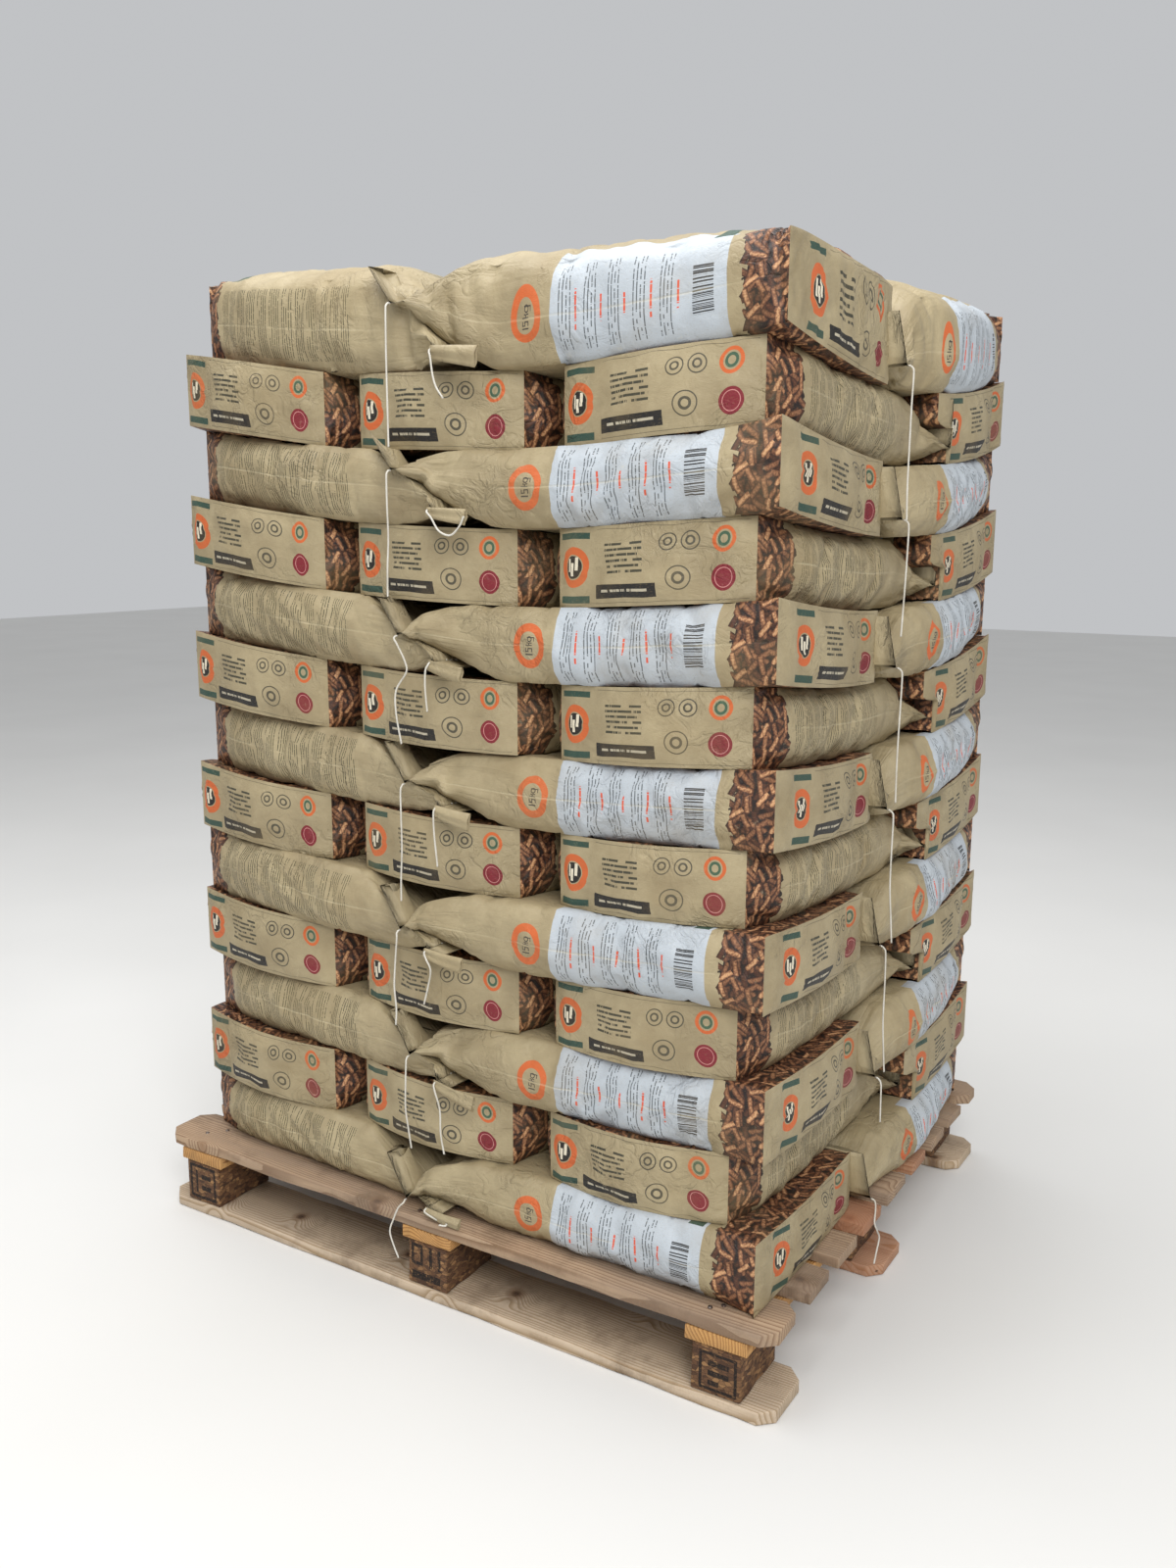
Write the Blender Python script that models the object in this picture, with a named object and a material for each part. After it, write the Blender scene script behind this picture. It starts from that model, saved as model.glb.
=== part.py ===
"""Pallet loaded with thirteen layers of five paper sacks.

Metres, +Z up. The origin is the middle of the pallet's underside. +X runs along the pallet's
long side and +Y along its short side. Layers are numbered from the pallet upwards.
"""

import math

import bmesh
import bpy
from mathutils import Vector

# Pallet
PALLET_LENGTH = 1.200
PALLET_DEPTH = 1.000
BOARD_THICKNESS = 0.020
STRINGER_THICKNESS = 0.022
STRINGER_WIDTH = 0.098
STRINGER_X = 0.513
BLOCK_HEIGHT = 0.076
BLOCK_WIDTH = 0.078
BLOCK_DEPTH = 0.122
BLOCK_INSET = 0.003
DECK_WIDTHS = (0.100, 0.080, 0.080, 0.080, 0.094, 0.076, 0.077, 0.079, 0.082)
BOTTOM_WIDTH = 0.124
CORNER_CUT = 0.022
TOUCH_GAP = 0.0003

# Levels of the pallet's parts
BLOCK_BASE = BOARD_THICKNESS + TOUCH_GAP
STRINGER_BASE = BLOCK_BASE + BLOCK_HEIGHT + TOUCH_GAP
DECK_BASE = STRINGER_BASE + STRINGER_THICKNESS + TOUCH_GAP
DECK_TOP = DECK_BASE + BOARD_THICKNESS

# Sack: outer face, from the block end to the sewn seam and the paper flap behind it
SACK_WIDTH = 0.375
SACK_LENGTH = 0.600
LEFT_SACK_LENGTH = 0.575
ODD_ROW_LENGTH = 0.540
EVEN_ROW_LENGTH = 0.590
END_CROWN = 0.024
SEAM_THICKNESS = 0.008
FACE_PROUD = 0.004
# Share of the length, share of the half width, thickness share
SACK_STATIONS = (
    (0.00, 0.80, 1.00),
    (0.10, 0.93, 1.00),
    (0.28, 1.00, 1.00),
    (0.70, 1.00, 1.00),
    (0.88, 1.03, 0.55),
    (1.00, 1.147, 0.00),
)
CORNER_SHARE = 0.93

# Stack
LAYERS = 13
STACK_HALF_X = 0.560
STACK_HALF_Y = 0.460
ROW_PITCH = 0.372
ROW_END_Y = 0.452
LONG_END_X = 0.560
PITCH_FRONT_LEFT = 0.1146
PITCH_FRONT_RIGHT = 0.1110
PITCH_BACK_RIGHT = 0.1120
PITCH_BACK_LEFT = 0.1130
DIP_FIRST = 0.016
DIP_STEP = 0.0046
TOP_SWELL = 0.10
# The top layer's faces are free to swell: their own dip, and the crown across each sack
TOP_DIP = 0.030
TOP_CROWN = 0.024
TOP_DROOP = 0.004
LEVEL_GRID = (4, 4)
LEVEL_REACH = (0.660, 0.570)

# How each odd layer was laid: the front sacks' inset, and the left sack's end as (in, back)
FRONT_INSET = {1: -0.010, 3: 0.006, 5: -0.010, 7: 0.009, 9: 0.000, 11: -0.007, 13: 0.000}
LEFT_LAY = {
    1: (-0.004, 0.020),
    3: (0.004, 0.014),
    5: (0.004, 0.016),
    7: (0.012, 0.014),
    9: (0.014, 0.016),
    11: (0.028, 0.030),
    13: (0.036, 0.040),
}
# How each even layer was laid: the front row's shift to the left
ROW_SHIFT = {2: 0.026, 4: 0.018, 6: 0.016, 8: 0.014, 10: 0.010, 12: 0.002}
# Height of a sewn seam within its layer, as a share of the layer's thickness
FRONT_SEAM_SHARE = {1: 0.25, 3: 0.50, 5: 0.42, 7: 0.48, 9: 0.53, 11: 0.70, 13: 0.80}
ROW_SEAM_SHARE = 0.22
LEFT_SEAM_SHARE = 0.22
YAW_SPREAD = math.radians(0.6)
PLACE_SPREAD = 0.003

# Thread tails hang from the outer corners of the seams. A route is a list of (side, out, up)
# steps from the corner. Front tails: side is +X and out is -Y. Right tails: +Y and +X.
THREAD_DIAMETER = 0.003
THREAD_STEP = 0.009
CURVE_SAMPLES = 12
THREAD_EXIT = ((0.0, 0.0, 0.0), (0.0, 0.003, 0.0), (0.0, 0.0075, -0.0035))
LONG_TAILS = {
    1: ((-0.007, 0.012, -0.012), (-0.016, 0.014, -0.034),
        (-0.023, 0.015, -0.056), (-0.016, 0.015, -0.078), (-0.006, 0.015, -0.098)),
    3: ((0.001, 0.010, -0.012), (0.000, 0.011, -0.045),
        (-0.001, 0.011, -0.085), (0.004, 0.011, -0.120), (0.010, 0.012, -0.150)),
    5: ((0.001, 0.009, -0.012), (-0.003, 0.009, -0.050),
        (-0.006, 0.009, -0.090), (-0.003, 0.009, -0.125), (-0.004, 0.010, -0.152)),
    7: ((0.001, 0.011, -0.012), (0.002, 0.012, -0.050),
        (0.003, 0.013, -0.100), (0.001, 0.014, -0.145), (0.002, 0.016, -0.180)),
    9: ((0.008, 0.010, -0.012), (0.022, 0.010, -0.036),
        (0.024, 0.010, -0.052), (0.004, 0.010, -0.080), (0.003, 0.010, -0.115),
        (0.012, 0.010, -0.160)),
    11: ((0.001, 0.010, -0.012), (0.001, 0.010, -0.050),
         (0.002, 0.010, -0.095), (0.000, 0.011, -0.140), (0.000, 0.012, -0.180)),
    13: ((0.001, 0.010, -0.012), (0.001, 0.011, -0.060),
         (0.001, 0.011, -0.110), (0.003, 0.013, -0.155), (0.004, 0.014, -0.198)),
}
SHORT_TAILS = {
    1: ((0.016, 0.008, -0.008), (0.030, 0.004, -0.014),
        (0.042, 0.006, -0.012), (0.046, 0.014, -0.011), (0.036, 0.017, -0.011)),
    3: ((0.004, 0.010, -0.012), (0.014, 0.011, -0.040),
        (0.015, 0.011, -0.080), (0.022, 0.012, -0.112)),
    5: ((0.005, 0.009, -0.012), (0.014, 0.010, -0.028),
        (0.008, 0.010, -0.056), (0.000, 0.010, -0.084)),
    7: ((0.001, 0.010, -0.012), (0.002, 0.010, -0.040),
        (0.008, 0.011, -0.088)),
    9: ((-0.003, 0.010, -0.012), (-0.004, 0.010, -0.038),
        (0.000, 0.011, -0.072)),
    11: ((0.010, 0.010, -0.012), (0.024, 0.011, -0.030),
         (0.044, 0.011, -0.036), (0.060, 0.011, -0.024), (0.068, 0.011, -0.010)),
    13: ((0.004, 0.010, -0.012), (0.008, 0.011, -0.034),
         (0.014, 0.011, -0.052), (0.026, 0.011, -0.068)),
}
RIGHT_TAILS = {
    1: ((-0.006, 0.011, -0.012), (-0.014, 0.013, -0.032),
        (-0.002, 0.014, -0.052), (0.010, 0.014, -0.070), (-0.001, 0.014, -0.090),
        (-0.010, 0.014, -0.106)),
    3: ((0.000, 0.010, -0.012), (-0.001, 0.011, -0.040),
        (-0.002, 0.012, -0.072)),
    5: ((0.000, 0.010, -0.012), (0.000, 0.011, -0.060),
        (-0.003, 0.012, -0.120), (0.000, 0.014, -0.170), (0.002, 0.016, -0.206)),
    7: ((0.000, 0.010, -0.012), (-0.004, 0.011, -0.060),
        (-0.006, 0.012, -0.120), (-0.001, 0.014, -0.170), (0.002, 0.016, -0.210)),
    9: ((-0.001, 0.010, -0.012), (-0.006, 0.011, -0.060),
        (-0.012, 0.012, -0.115), (-0.018, 0.014, -0.160), (-0.022, 0.016, -0.200)),
    11: ((-0.001, 0.010, -0.012), (-0.006, 0.011, -0.060),
         (-0.014, 0.012, -0.120), (-0.022, 0.013, -0.168)),
    13: ((-0.002, 0.010, -0.012), (-0.008, 0.011, -0.060),
         (-0.012, 0.012, -0.120), (-0.018, 0.014, -0.175), (-0.020, 0.016, -0.218)),
}

PAPER = ("kraft_paper", (0.50, 0.40, 0.24, 1.0), 0.75)
DECK_WOOD = ("weathered_pine", (0.36, 0.26, 0.18, 1.0), 0.85)
BASE_WOOD = ("sawn_pine", (0.48, 0.36, 0.24, 1.0), 0.85)
STRINGER_WOOD = ("resinous_pine", (0.50, 0.28, 0.09, 1.0), 0.80)
CHIPBOARD = ("pressed_chipboard", (0.19, 0.11, 0.06, 1.0), 0.90)
THREAD = ("cotton_thread", (0.80, 0.79, 0.75, 1.0), 0.90)


def clear_scene():
    for obj in list(bpy.data.objects):
        bpy.data.objects.remove(obj)


def finish(kind):
    """The material of one kind of stuff, made once."""
    name, colour, roughness = kind
    made = bpy.data.materials.get(name)
    if made is None:
        made = bpy.data.materials.new(name)
        made.use_nodes = True
        shader = made.node_tree.nodes["Principled BSDF"]
        shader.inputs["Base Color"].default_value = colour
        shader.inputs["Roughness"].default_value = roughness
        shader.inputs["Metallic"].default_value = 0.0
    return made


def new_object(name, mesh, kind, collection):
    obj = bpy.data.objects.new(name, mesh)
    mesh.materials.append(finish(kind))
    collection.objects.link(obj)
    return obj


def board(name, low, high, kind, collection, cut=0.0):
    """A sawn piece between two corners. With a cut, its four upright corners are taken off."""
    bm = bmesh.new()
    bmesh.ops.create_cube(bm, size=1.0)
    size = [b - a for a, b in zip(low, high)]
    bmesh.ops.scale(bm, vec=size, verts=bm.verts)
    if cut:
        upright = [edge for edge in bm.edges if abs(edge.verts[0].co.z - edge.verts[1].co.z) > 1e-4]
        bmesh.ops.bevel(bm, geom=upright, offset=cut, segments=1, affect="EDGES", profile=0.5)
    mesh = bpy.data.meshes.new(name)
    bm.to_mesh(mesh)
    bm.free()
    obj = new_object(name, mesh, kind, collection)
    obj.location = [(a + b) / 2 for a, b in zip(low, high)]
    return obj


def deck_edges():
    """Front and back of each deck board, spread evenly over the pallet's depth."""
    gap = (PALLET_DEPTH - sum(DECK_WIDTHS)) / (len(DECK_WIDTHS) - 1)
    edges = []
    front = -PALLET_DEPTH / 2
    for width in DECK_WIDTHS:
        edges.append((front, front + width))
        front += width + gap
    return edges


def make_pallet(collection):
    half_x = PALLET_LENGTH / 2
    half_y = PALLET_DEPTH / 2
    for number, (front, back) in enumerate(deck_edges(), 1):
        cut = CORNER_CUT if number in (1, len(DECK_WIDTHS)) else 0.0
        board(f"deck_board_{number}", (-half_x, front, DECK_BASE), (half_x, back, DECK_TOP),
              DECK_WOOD, collection, cut)
    for side, x in (("left", -STRINGER_X), ("middle", 0.0), ("right", STRINGER_X)):
        board(f"stringer_{side}", (x - STRINGER_WIDTH / 2, -half_y, STRINGER_BASE),
              (x + STRINGER_WIDTH / 2, half_y, STRINGER_BASE + STRINGER_THICKNESS),
              STRINGER_WOOD, collection)
        for row, y in (("front", BLOCK_INSET - half_y + BLOCK_DEPTH / 2), ("centre", 0.0),
                       ("back", half_y - BLOCK_INSET - BLOCK_DEPTH / 2)):
            board(f"block_{row}_{side}",
                  (x - BLOCK_WIDTH / 2, y - BLOCK_DEPTH / 2, BLOCK_BASE),
                  (x + BLOCK_WIDTH / 2, y + BLOCK_DEPTH / 2, BLOCK_BASE + BLOCK_HEIGHT),
                  CHIPBOARD, collection)
    for row, y in (("front", BOTTOM_WIDTH / 2 - half_y), ("middle", 0.0),
                   ("back", half_y - BOTTOM_WIDTH / 2)):
        board(f"bottom_board_{row}", (-half_x, y - BOTTOM_WIDTH / 2, 0.0),
              (half_x, y + BOTTOM_WIDTH / 2, BOARD_THICKNESS), BASE_WOOD, collection, CORNER_CUT)


def blend(start, end, share):
    return start + (end - start) * share


def level(number, x, y):
    """Height of the top of a layer. The middle settles, where the thin sewn ends meet."""
    if number == 0:
        return DECK_TOP
    u = max(-1.0, min(1.0, x / STACK_HALF_X))
    v = max(-1.0, min(1.0, y / STACK_HALF_Y))
    front = blend(PITCH_FRONT_LEFT, PITCH_FRONT_RIGHT, (u + 1) / 2)
    back = blend(PITCH_BACK_LEFT, PITCH_BACK_RIGHT, (u + 1) / 2)
    pitch = blend(front, back, (v + 1) / 2)
    dip = (DIP_FIRST + DIP_STEP * number) * (1 - 0.3 * u * u - 0.3 * v * v - 0.4 * u * u * v * v)
    return DECK_TOP + number * pitch - dip


def layer_space(number):
    """Closed block between the layer below and the layer above, with the touching gap left out."""
    bm = bmesh.new()
    bmesh.ops.create_grid(bm, x_segments=LEVEL_GRID[0], y_segments=LEVEL_GRID[1], size=1.0)
    bmesh.ops.scale(bm, vec=(*LEVEL_REACH, 1.0), verts=bm.verts)
    bmesh.ops.triangulate(bm, faces=bm.faces, quad_method="FIXED")
    grown = bmesh.ops.extrude_face_region(bm, geom=list(bm.faces))
    upper = {item for item in grown["geom"] if isinstance(item, bmesh.types.BMVert)}
    for vert in bm.verts:
        x, y, _ = vert.co
        if vert in upper:
            swell = TOP_SWELL if number == LAYERS else -TOUCH_GAP / 2
            vert.co.z = level(number, x, y) + swell
        else:
            vert.co.z = level(number - 1, x, y) + TOUCH_GAP / 2
    bmesh.ops.recalc_face_normals(bm, faces=bm.faces)
    mesh = bpy.data.meshes.new(f"space_{number}")
    bm.to_mesh(mesh)
    bm.free()
    return mesh


def sack_cage(parts_across):
    """A box cut into the stations along its length and into equal parts across."""
    bm = bmesh.new()
    bmesh.ops.create_cube(bm, size=2.0)
    for axis, cuts in ((0, len(SACK_STATIONS) - 2), (1, parts_across - 1), (2, 1)):
        along = [edge for edge in bm.edges
                 if abs(edge.verts[0].co[axis] - edge.verts[1].co[axis]) > 1.9]
        bmesh.ops.subdivide_edges(bm, edges=along, cuts=cuts, use_grid_fill=True)
    return bm


def across_of(heading):
    """Level direction to the left of a sack's outward heading."""
    return Vector((-math.sin(heading), math.cos(heading), 0.0))


def seam_height(number, x, y, share):
    low = level(number - 1, x, y)
    return low + share * (level(number, x, y) - low)


def top_swell(side, x, y):
    """How far the face of a top sack stands above its layer's level."""
    u = max(-1.0, min(1.0, x / STACK_HALF_X))
    v = max(-1.0, min(1.0, y / STACK_HALF_Y))
    filled = DIP_FIRST + DIP_STEP * LAYERS - TOP_DIP
    crown = TOP_CROWN * (1 - side ** 4) - TOP_DROOP * side ** 6
    return filled * (1 - 0.3 * u * u - 0.3 * v * v - 0.4 * u * u * v * v) + crown


def sack_mesh(number, sack):
    """One sack. Its top and bottom stand a little proud, and the layer's space cuts them flat."""
    (end_x, end_y, heading), length, seam_share = sack
    outward = Vector((math.cos(heading), math.sin(heading), 0.0))
    across = across_of(heading)
    on_top = number == LAYERS
    bm = sack_cage(4 if on_top else 2)
    last = len(SACK_STATIONS) - 1
    for vert in bm.verts:
        a, b, c = vert.co
        run, width, thick = SACK_STATIONS[round((a + 1) / 2 * last)]
        side = round(b * 2) / 2
        rise = round(c)
        corner = CORNER_SHARE if abs(side) == 1 and rise and thick > 0.5 else 1.0
        back = run * length + (END_CROWN * abs(side) if run == 0 else 0.0)
        spot = (Vector((end_x, end_y, 0.0)) - outward * back
                + across * (side * width * corner * SACK_WIDTH / 2))
        depth = level(number, spot.x, spot.y) - level(number - 1, spot.x, spot.y)
        centre = seam_height(number, spot.x, spot.y, blend(seam_share, 0.5, thick))
        proud = SEAM_THICKNESS / 2 if thick < 0.5 else FACE_PROUD
        spot.z = centre + rise * (thick * depth / 2 + proud)
        if on_top and rise > 0:
            spot.z += thick * top_swell(side, spot.x, spot.y)
        vert.co = spot
    bmesh.ops.recalc_face_normals(bm, faces=bm.faces)
    mesh = bpy.data.meshes.new("sack")
    bm.to_mesh(mesh)
    bm.free()
    return mesh


def wobble(number, piece, size):
    """Small uneven shift of one sack, the same each time."""
    return size * math.sin(2.4 * number + 1.9 * piece * piece + piece)


def sack_places(number):
    """Five sacks: the two long ones, right then left, and the row of three, left to right.

    Each is ((end x, end y, heading), length, seam share). An odd layer has its long sacks in
    front, and an even layer is the same turned half round.
    """
    way = 1.0 if number % 2 else -1.0
    base = 0.0 if number % 2 else math.pi
    long_y = -way * (STACK_HALF_Y - SACK_WIDTH / 2)
    front = FRONT_INSET.get(number, 0.0)
    left, back = LEFT_LAY.get(number, (0.010, 0.010))
    shift = ROW_SHIFT.get(number, 0.0)
    row_length = ODD_ROW_LENGTH if number % 2 else EVEN_ROW_LENGTH
    sacks = [
        ((way * LONG_END_X, long_y + way * front, base), SACK_LENGTH,
         FRONT_SEAM_SHARE.get(number, 0.55)),
        ((-way * (LONG_END_X - left), long_y + way * (front + back),
          base + math.pi - back / LEFT_SACK_LENGTH), LEFT_SACK_LENGTH, LEFT_SEAM_SHARE),
    ]
    for piece in (-1, 0, 1):
        x = piece * way * ROW_PITCH - shift + wobble(number, piece, PLACE_SPREAD)
        y = way * (ROW_END_Y + wobble(number, piece + 3, PLACE_SPREAD))
        heading = base + math.pi / 2 + wobble(number, piece + 6, YAW_SPREAD)
        sacks.append(((x, y, heading), row_length, ROW_SEAM_SHARE))
    return sacks


def seam_corner(number, sack, side):
    """Outer corner of a sack's sewn seam. Side is 1 to the left of its heading, or -1."""
    (end_x, end_y, heading), length, share = sack
    width = SACK_STATIONS[-1][1]
    spot = (Vector((end_x, end_y, 0.0))
            - Vector((math.cos(heading), math.sin(heading), 0.0)) * length
            + across_of(heading) * (side * width * SACK_WIDTH / 2))
    spot.z = seam_height(number, spot.x, spot.y, share)
    return spot


def join(target, other, operation):
    modifier = target.modifiers.new(operation.lower(), "BOOLEAN")
    modifier.operation = operation
    modifier.solver = "EXACT"
    modifier.object = other


def helper(name, mesh, cutters):
    obj = bpy.data.objects.new(name, mesh)
    obj.hide_render = True
    obj.display_type = "WIRE"
    cutters.objects.link(obj)
    return obj


def make_layer(number, collection, cutters):
    """Five sacks pressed together as one solid, flat against the layers below and above."""
    pieces = [sack_mesh(number, sack) for sack in sack_places(number)]
    layer = new_object(f"sack_layer_{number:02d}", pieces[0], PAPER, collection)
    for index, mesh in enumerate(pieces[1:], 2):
        join(layer, helper(f"sack_{number:02d}_{index}", mesh, cutters), "UNION")
    join(layer, helper(f"space_{number:02d}", layer_space(number), cutters), "INTERSECT")


def smooth_run(points):
    """Points a thread step apart on a smooth curve, after one straight step out."""
    ends = points + [points[-1] * 2 - points[-2]]
    fine = []
    for a, b, c, d in zip(ends, ends[1:], ends[2:], ends[3:]):
        for step in range(CURVE_SAMPLES):
            t = step / CURVE_SAMPLES
            fine.append(0.5 * (2 * b + (c - a) * t + (2 * a - 5 * b + 4 * c - d) * t * t
                               + (3 * b - a - 3 * c + d) * t ** 3))
    fine.append(points[-1])
    total = sum((b - a).length for a, b in zip(fine, fine[1:]))
    count = round(total / THREAD_STEP)
    run = [fine[0]]
    walked = 0.0
    for a, b in zip(fine, fine[1:]):
        span = (b - a).length
        while len(run) < count and walked + span >= len(run) * total / count:
            run.append(a.lerp(b, (len(run) * total / count - walked) / span))
        walked += span
    return [points[0]] + run + [fine[-1]]


def make_thread(name, start, side, out, steps, collection):
    """A thread tail from the corner of a seam."""
    up = Vector((0.0, 0.0, 1.0))
    first = start + out * TOUCH_GAP
    points = [first + side * a + out * b + up * c for a, b, c in THREAD_EXIT + steps]
    curve = bpy.data.curves.new(name, "CURVE")
    curve.dimensions = "3D"
    curve.bevel_depth = THREAD_DIAMETER / 2
    curve.bevel_resolution = 2
    curve.use_fill_caps = True
    run = smooth_run(points)
    spline = curve.splines.new("POLY")
    spline.points.add(len(run) - 1)
    for point, spot in zip(spline.points, run):
        point.co = (*spot, 1.0)
    new_object(name, curve, THREAD, collection)


def make_threads(collection):
    along = Vector((1.0, 0.0, 0.0))
    ahead = Vector((0.0, -1.0, 0.0))
    for number in range(1, LAYERS + 1, 2):
        right, left, _, _, back_right = sack_places(number)
        make_thread(f"thread_front_{number:02d}", seam_corner(number, right, -1), along, ahead,
                    LONG_TAILS[number], collection)
        make_thread(f"thread_left_{number:02d}", seam_corner(number, left, 1), along, ahead,
                    SHORT_TAILS[number], collection)
        make_thread(f"thread_right_{number:02d}", seam_corner(number, back_right, -1), -ahead,
                    along, RIGHT_TAILS[number], collection)


def main():
    clear_scene()
    loaded = bpy.data.collections.new("pallet_of_sacks")
    cutters = bpy.data.collections.new("cutters")
    bpy.context.scene.collection.children.link(loaded)
    bpy.context.scene.collection.children.link(cutters)
    make_pallet(loaded)
    for number in range(1, LAYERS + 1):
        make_layer(number, loaded, cutters)
    make_threads(loaded)


main()
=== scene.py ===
"""Pallet loaded with paper sacks of wood pellets: the detailed pieces, materials, camera and light.

Metres, +Z up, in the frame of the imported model. The sacks are simulated once as paper cloth,
then each is laid between the levels of its layer with the same lay-out as the solids.
"""
import math

import bmesh
import bpy
import numpy as np
from mathutils import Matrix, Vector


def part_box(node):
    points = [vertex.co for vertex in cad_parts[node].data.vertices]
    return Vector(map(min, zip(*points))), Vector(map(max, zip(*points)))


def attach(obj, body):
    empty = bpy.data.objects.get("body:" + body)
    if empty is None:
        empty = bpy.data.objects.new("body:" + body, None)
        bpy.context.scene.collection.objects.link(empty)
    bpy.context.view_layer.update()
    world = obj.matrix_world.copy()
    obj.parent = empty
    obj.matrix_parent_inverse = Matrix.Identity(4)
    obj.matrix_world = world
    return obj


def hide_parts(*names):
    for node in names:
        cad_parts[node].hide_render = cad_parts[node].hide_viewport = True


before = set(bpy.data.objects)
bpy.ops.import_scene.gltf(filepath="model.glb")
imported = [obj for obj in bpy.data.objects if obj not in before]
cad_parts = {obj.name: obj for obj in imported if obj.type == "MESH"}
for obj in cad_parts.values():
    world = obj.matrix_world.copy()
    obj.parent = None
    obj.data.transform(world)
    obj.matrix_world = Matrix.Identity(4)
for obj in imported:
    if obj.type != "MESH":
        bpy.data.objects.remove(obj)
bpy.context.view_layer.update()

# Camera, fitted to the pallet's corners in the photograph
CAMERA_PLACE = (1.2286, -2.0050, 1.2190)
CAMERA_YAW = math.radians(-31.652)
CAMERA_PITCH = math.radians(-10.924)
CAMERA_ROLL = math.radians(0.240)
FOCAL_PIXELS = 1343.65
IMAGE_HEIGHT = 1600
SENSOR = 36.0

# Levels and lay-out of the stack, as in the solids
DECK_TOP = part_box("deck_board_1")[1][2]
TOUCH_GAP = 0.0003
LAYERS = 13
SACK_WORDS = ("long_right", "long_left", "row_left", "row_middle", "row_right")
STACK_HALF_X = 0.560
STACK_HALF_Y = 0.460
ROW_PITCH = 0.372
ROW_END_Y = 0.452
LONG_END_X = 0.560
PITCH_FRONT_LEFT = 0.1146
PITCH_FRONT_RIGHT = 0.1110
PITCH_BACK_RIGHT = 0.1120
PITCH_BACK_LEFT = 0.1130
DIP_FIRST = 0.016
DIP_STEP = 0.0046
TOP_DIP = 0.030
TOP_CROWN = 0.024
TOP_DROOP = 0.004

# Lay of single sacks, by layer. LEFT_LAY and BACK_LAY say how far the second long sack's end is
# set in, and how far the sack lies back, on the odd layers and on the even ones
FRONT_INSET = {1: -0.010, 3: 0.006, 5: -0.010, 7: 0.009, 9: 0.000, 11: -0.007, 13: 0.000}
LEFT_LAY = {
    1: (-0.004, 0.020),
    3: (0.004, 0.014),
    5: (0.004, 0.016),
    7: (0.012, 0.014),
    9: (0.014, 0.016),
    11: (0.028, 0.030),
    13: (0.036, 0.040),
}
BACK_LAY = (-0.022, 0.002)
ROW_SHIFT = {2: 0.026, 4: 0.018, 6: 0.016, 8: 0.014, 10: 0.010, 12: 0.002}
BACK_RIGHT_LEAN = 0.014
YAW_SPREAD = math.radians(0.6)
PLACE_SPREAD = 0.003

# Height of the sewn seams, as a share of the layer
FRONT_SEAM_SHARE = {1: 0.25, 3: 0.50, 5: 0.42, 7: 0.48, 9: 0.53, 11: 0.70, 13: 0.80}
BACK_SEAM_SHARE = 0.55
ROW_SEAM_SHARE = 0.22
LEFT_SEAM_SHARE = 0.22

# Contact, by y as on an odd layer: the gap at the plane between two neighbours, the line past
# which the row's sewn ends tuck under the long sacks, the stretch of x where the long sacks'
# sewn ends cross, and the line past which a hem stands free of the next layer
GRIP_GAP = 0.0004
LONG_INNER_Y = -0.0865
TUCK_SHARE = 0.54
SEAM_OVERLAP = (-0.04, 0.05)
SEAM_GAP_SHARE = 0.012
FREE_EDGE_Y = -0.468

# Sack, from its block end to the sewn seam. A chord is the block end's width as a share of the
# sack's
SACK_WIDTH = 0.375
SACK_THICKNESS = 0.112
SACK_LENGTH = 0.600
LEFT_SACK_LENGTH = 0.575
ODD_ROW_LENGTH = 0.540
EVEN_ROW_LENGTH = 0.590
END_CHORD = 0.80
BROAD_CHORD = 0.985
END_CROWN = 0.024
END_BOW = 0.006
SIDE_BULGE = 0.11
RIGHT_BELLY = 0.030
SACK_RIPPLE = 0.0018
SEAM_SPREAD = 0.147
TAPER_START = 0.70

# Hem of paper behind the seam, with an ear at each end of it, and its stitches. The front hems
# rise between two angles from their middle to their ears, and a tab is (length, height, tilt)
HEM_LENGTH = 0.076
HEM_HALF = 0.0009
ROW_HEM_ANGLE = 86.0
ROW_HEM_LEAN = 0.18
FRONT_HEM_ANGLES = (20.0, 77.0)
EAR_SHARE = 0.73
EAR_TURN = 0.60
STITCH_STEP = 0.006
STITCH_RISE = 0.0012
STITCH_OUTLINE = (0.0010, 0.0010)
TAB_PAPER = 0.0007
TAB_SHAPES = {
    1: (0.070, 0.018, -0.06),
    3: (0.078, 0.026, -0.20),
    5: (0.072, 0.024, -0.12),
    7: (0.066, 0.026, -0.16),
    9: (0.062, 0.024, -0.20),
    11: (0.070, 0.022, -0.10),
    13: (0.082, 0.029, -0.13),
}

# Grid that each sack starts from, on a cube from -1 to 1. Past ON_FACE a point is on a face
BODY_ROWS = 96
HEM_ROWS = 10
UPRIGHT_PARTS = 16
ACROSS_PARTS = 12
TOP_ACROSS_PARTS = 36
ON_FACE = 0.999

# Paper cloth: the sheet is cut this much larger than the space it fills, so that it buckles.
# A hold is how firmly that part of the sack keeps its place
PAPER_EXCESS = (0.020, 0.026, 0.032, 0.023)
TOP_EXCESS = 0.030
PAPER_SEED = 20
TOP_SEED = 31
PAPER_FRAMES = 18
MOST_MOVE = 0.013
FLAT_HOLD = 0.5
TOP_HOLD = 0.10
SIDE_HOLD = 0.09
SEWN_END_HOLD = 0.03
BLOCK_END_HOLD = 0.25
PAPER_CLOTH = {
    "quality": 5,
    "mass": 0.2,
    "tension_stiffness": 30,
    "compression_stiffness": 30,
    "shear_stiffness": 15,
    "bending_stiffness": 0.5,
    "tension_damping": 10,
    "compression_damping": 10,
    "shear_damping": 8,
    "bending_damping": 1,
    "air_damping": 2,
    "pin_stiffness": 3,
    "use_pressure": True,
    "uniform_pressure_force": 3,
}

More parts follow.
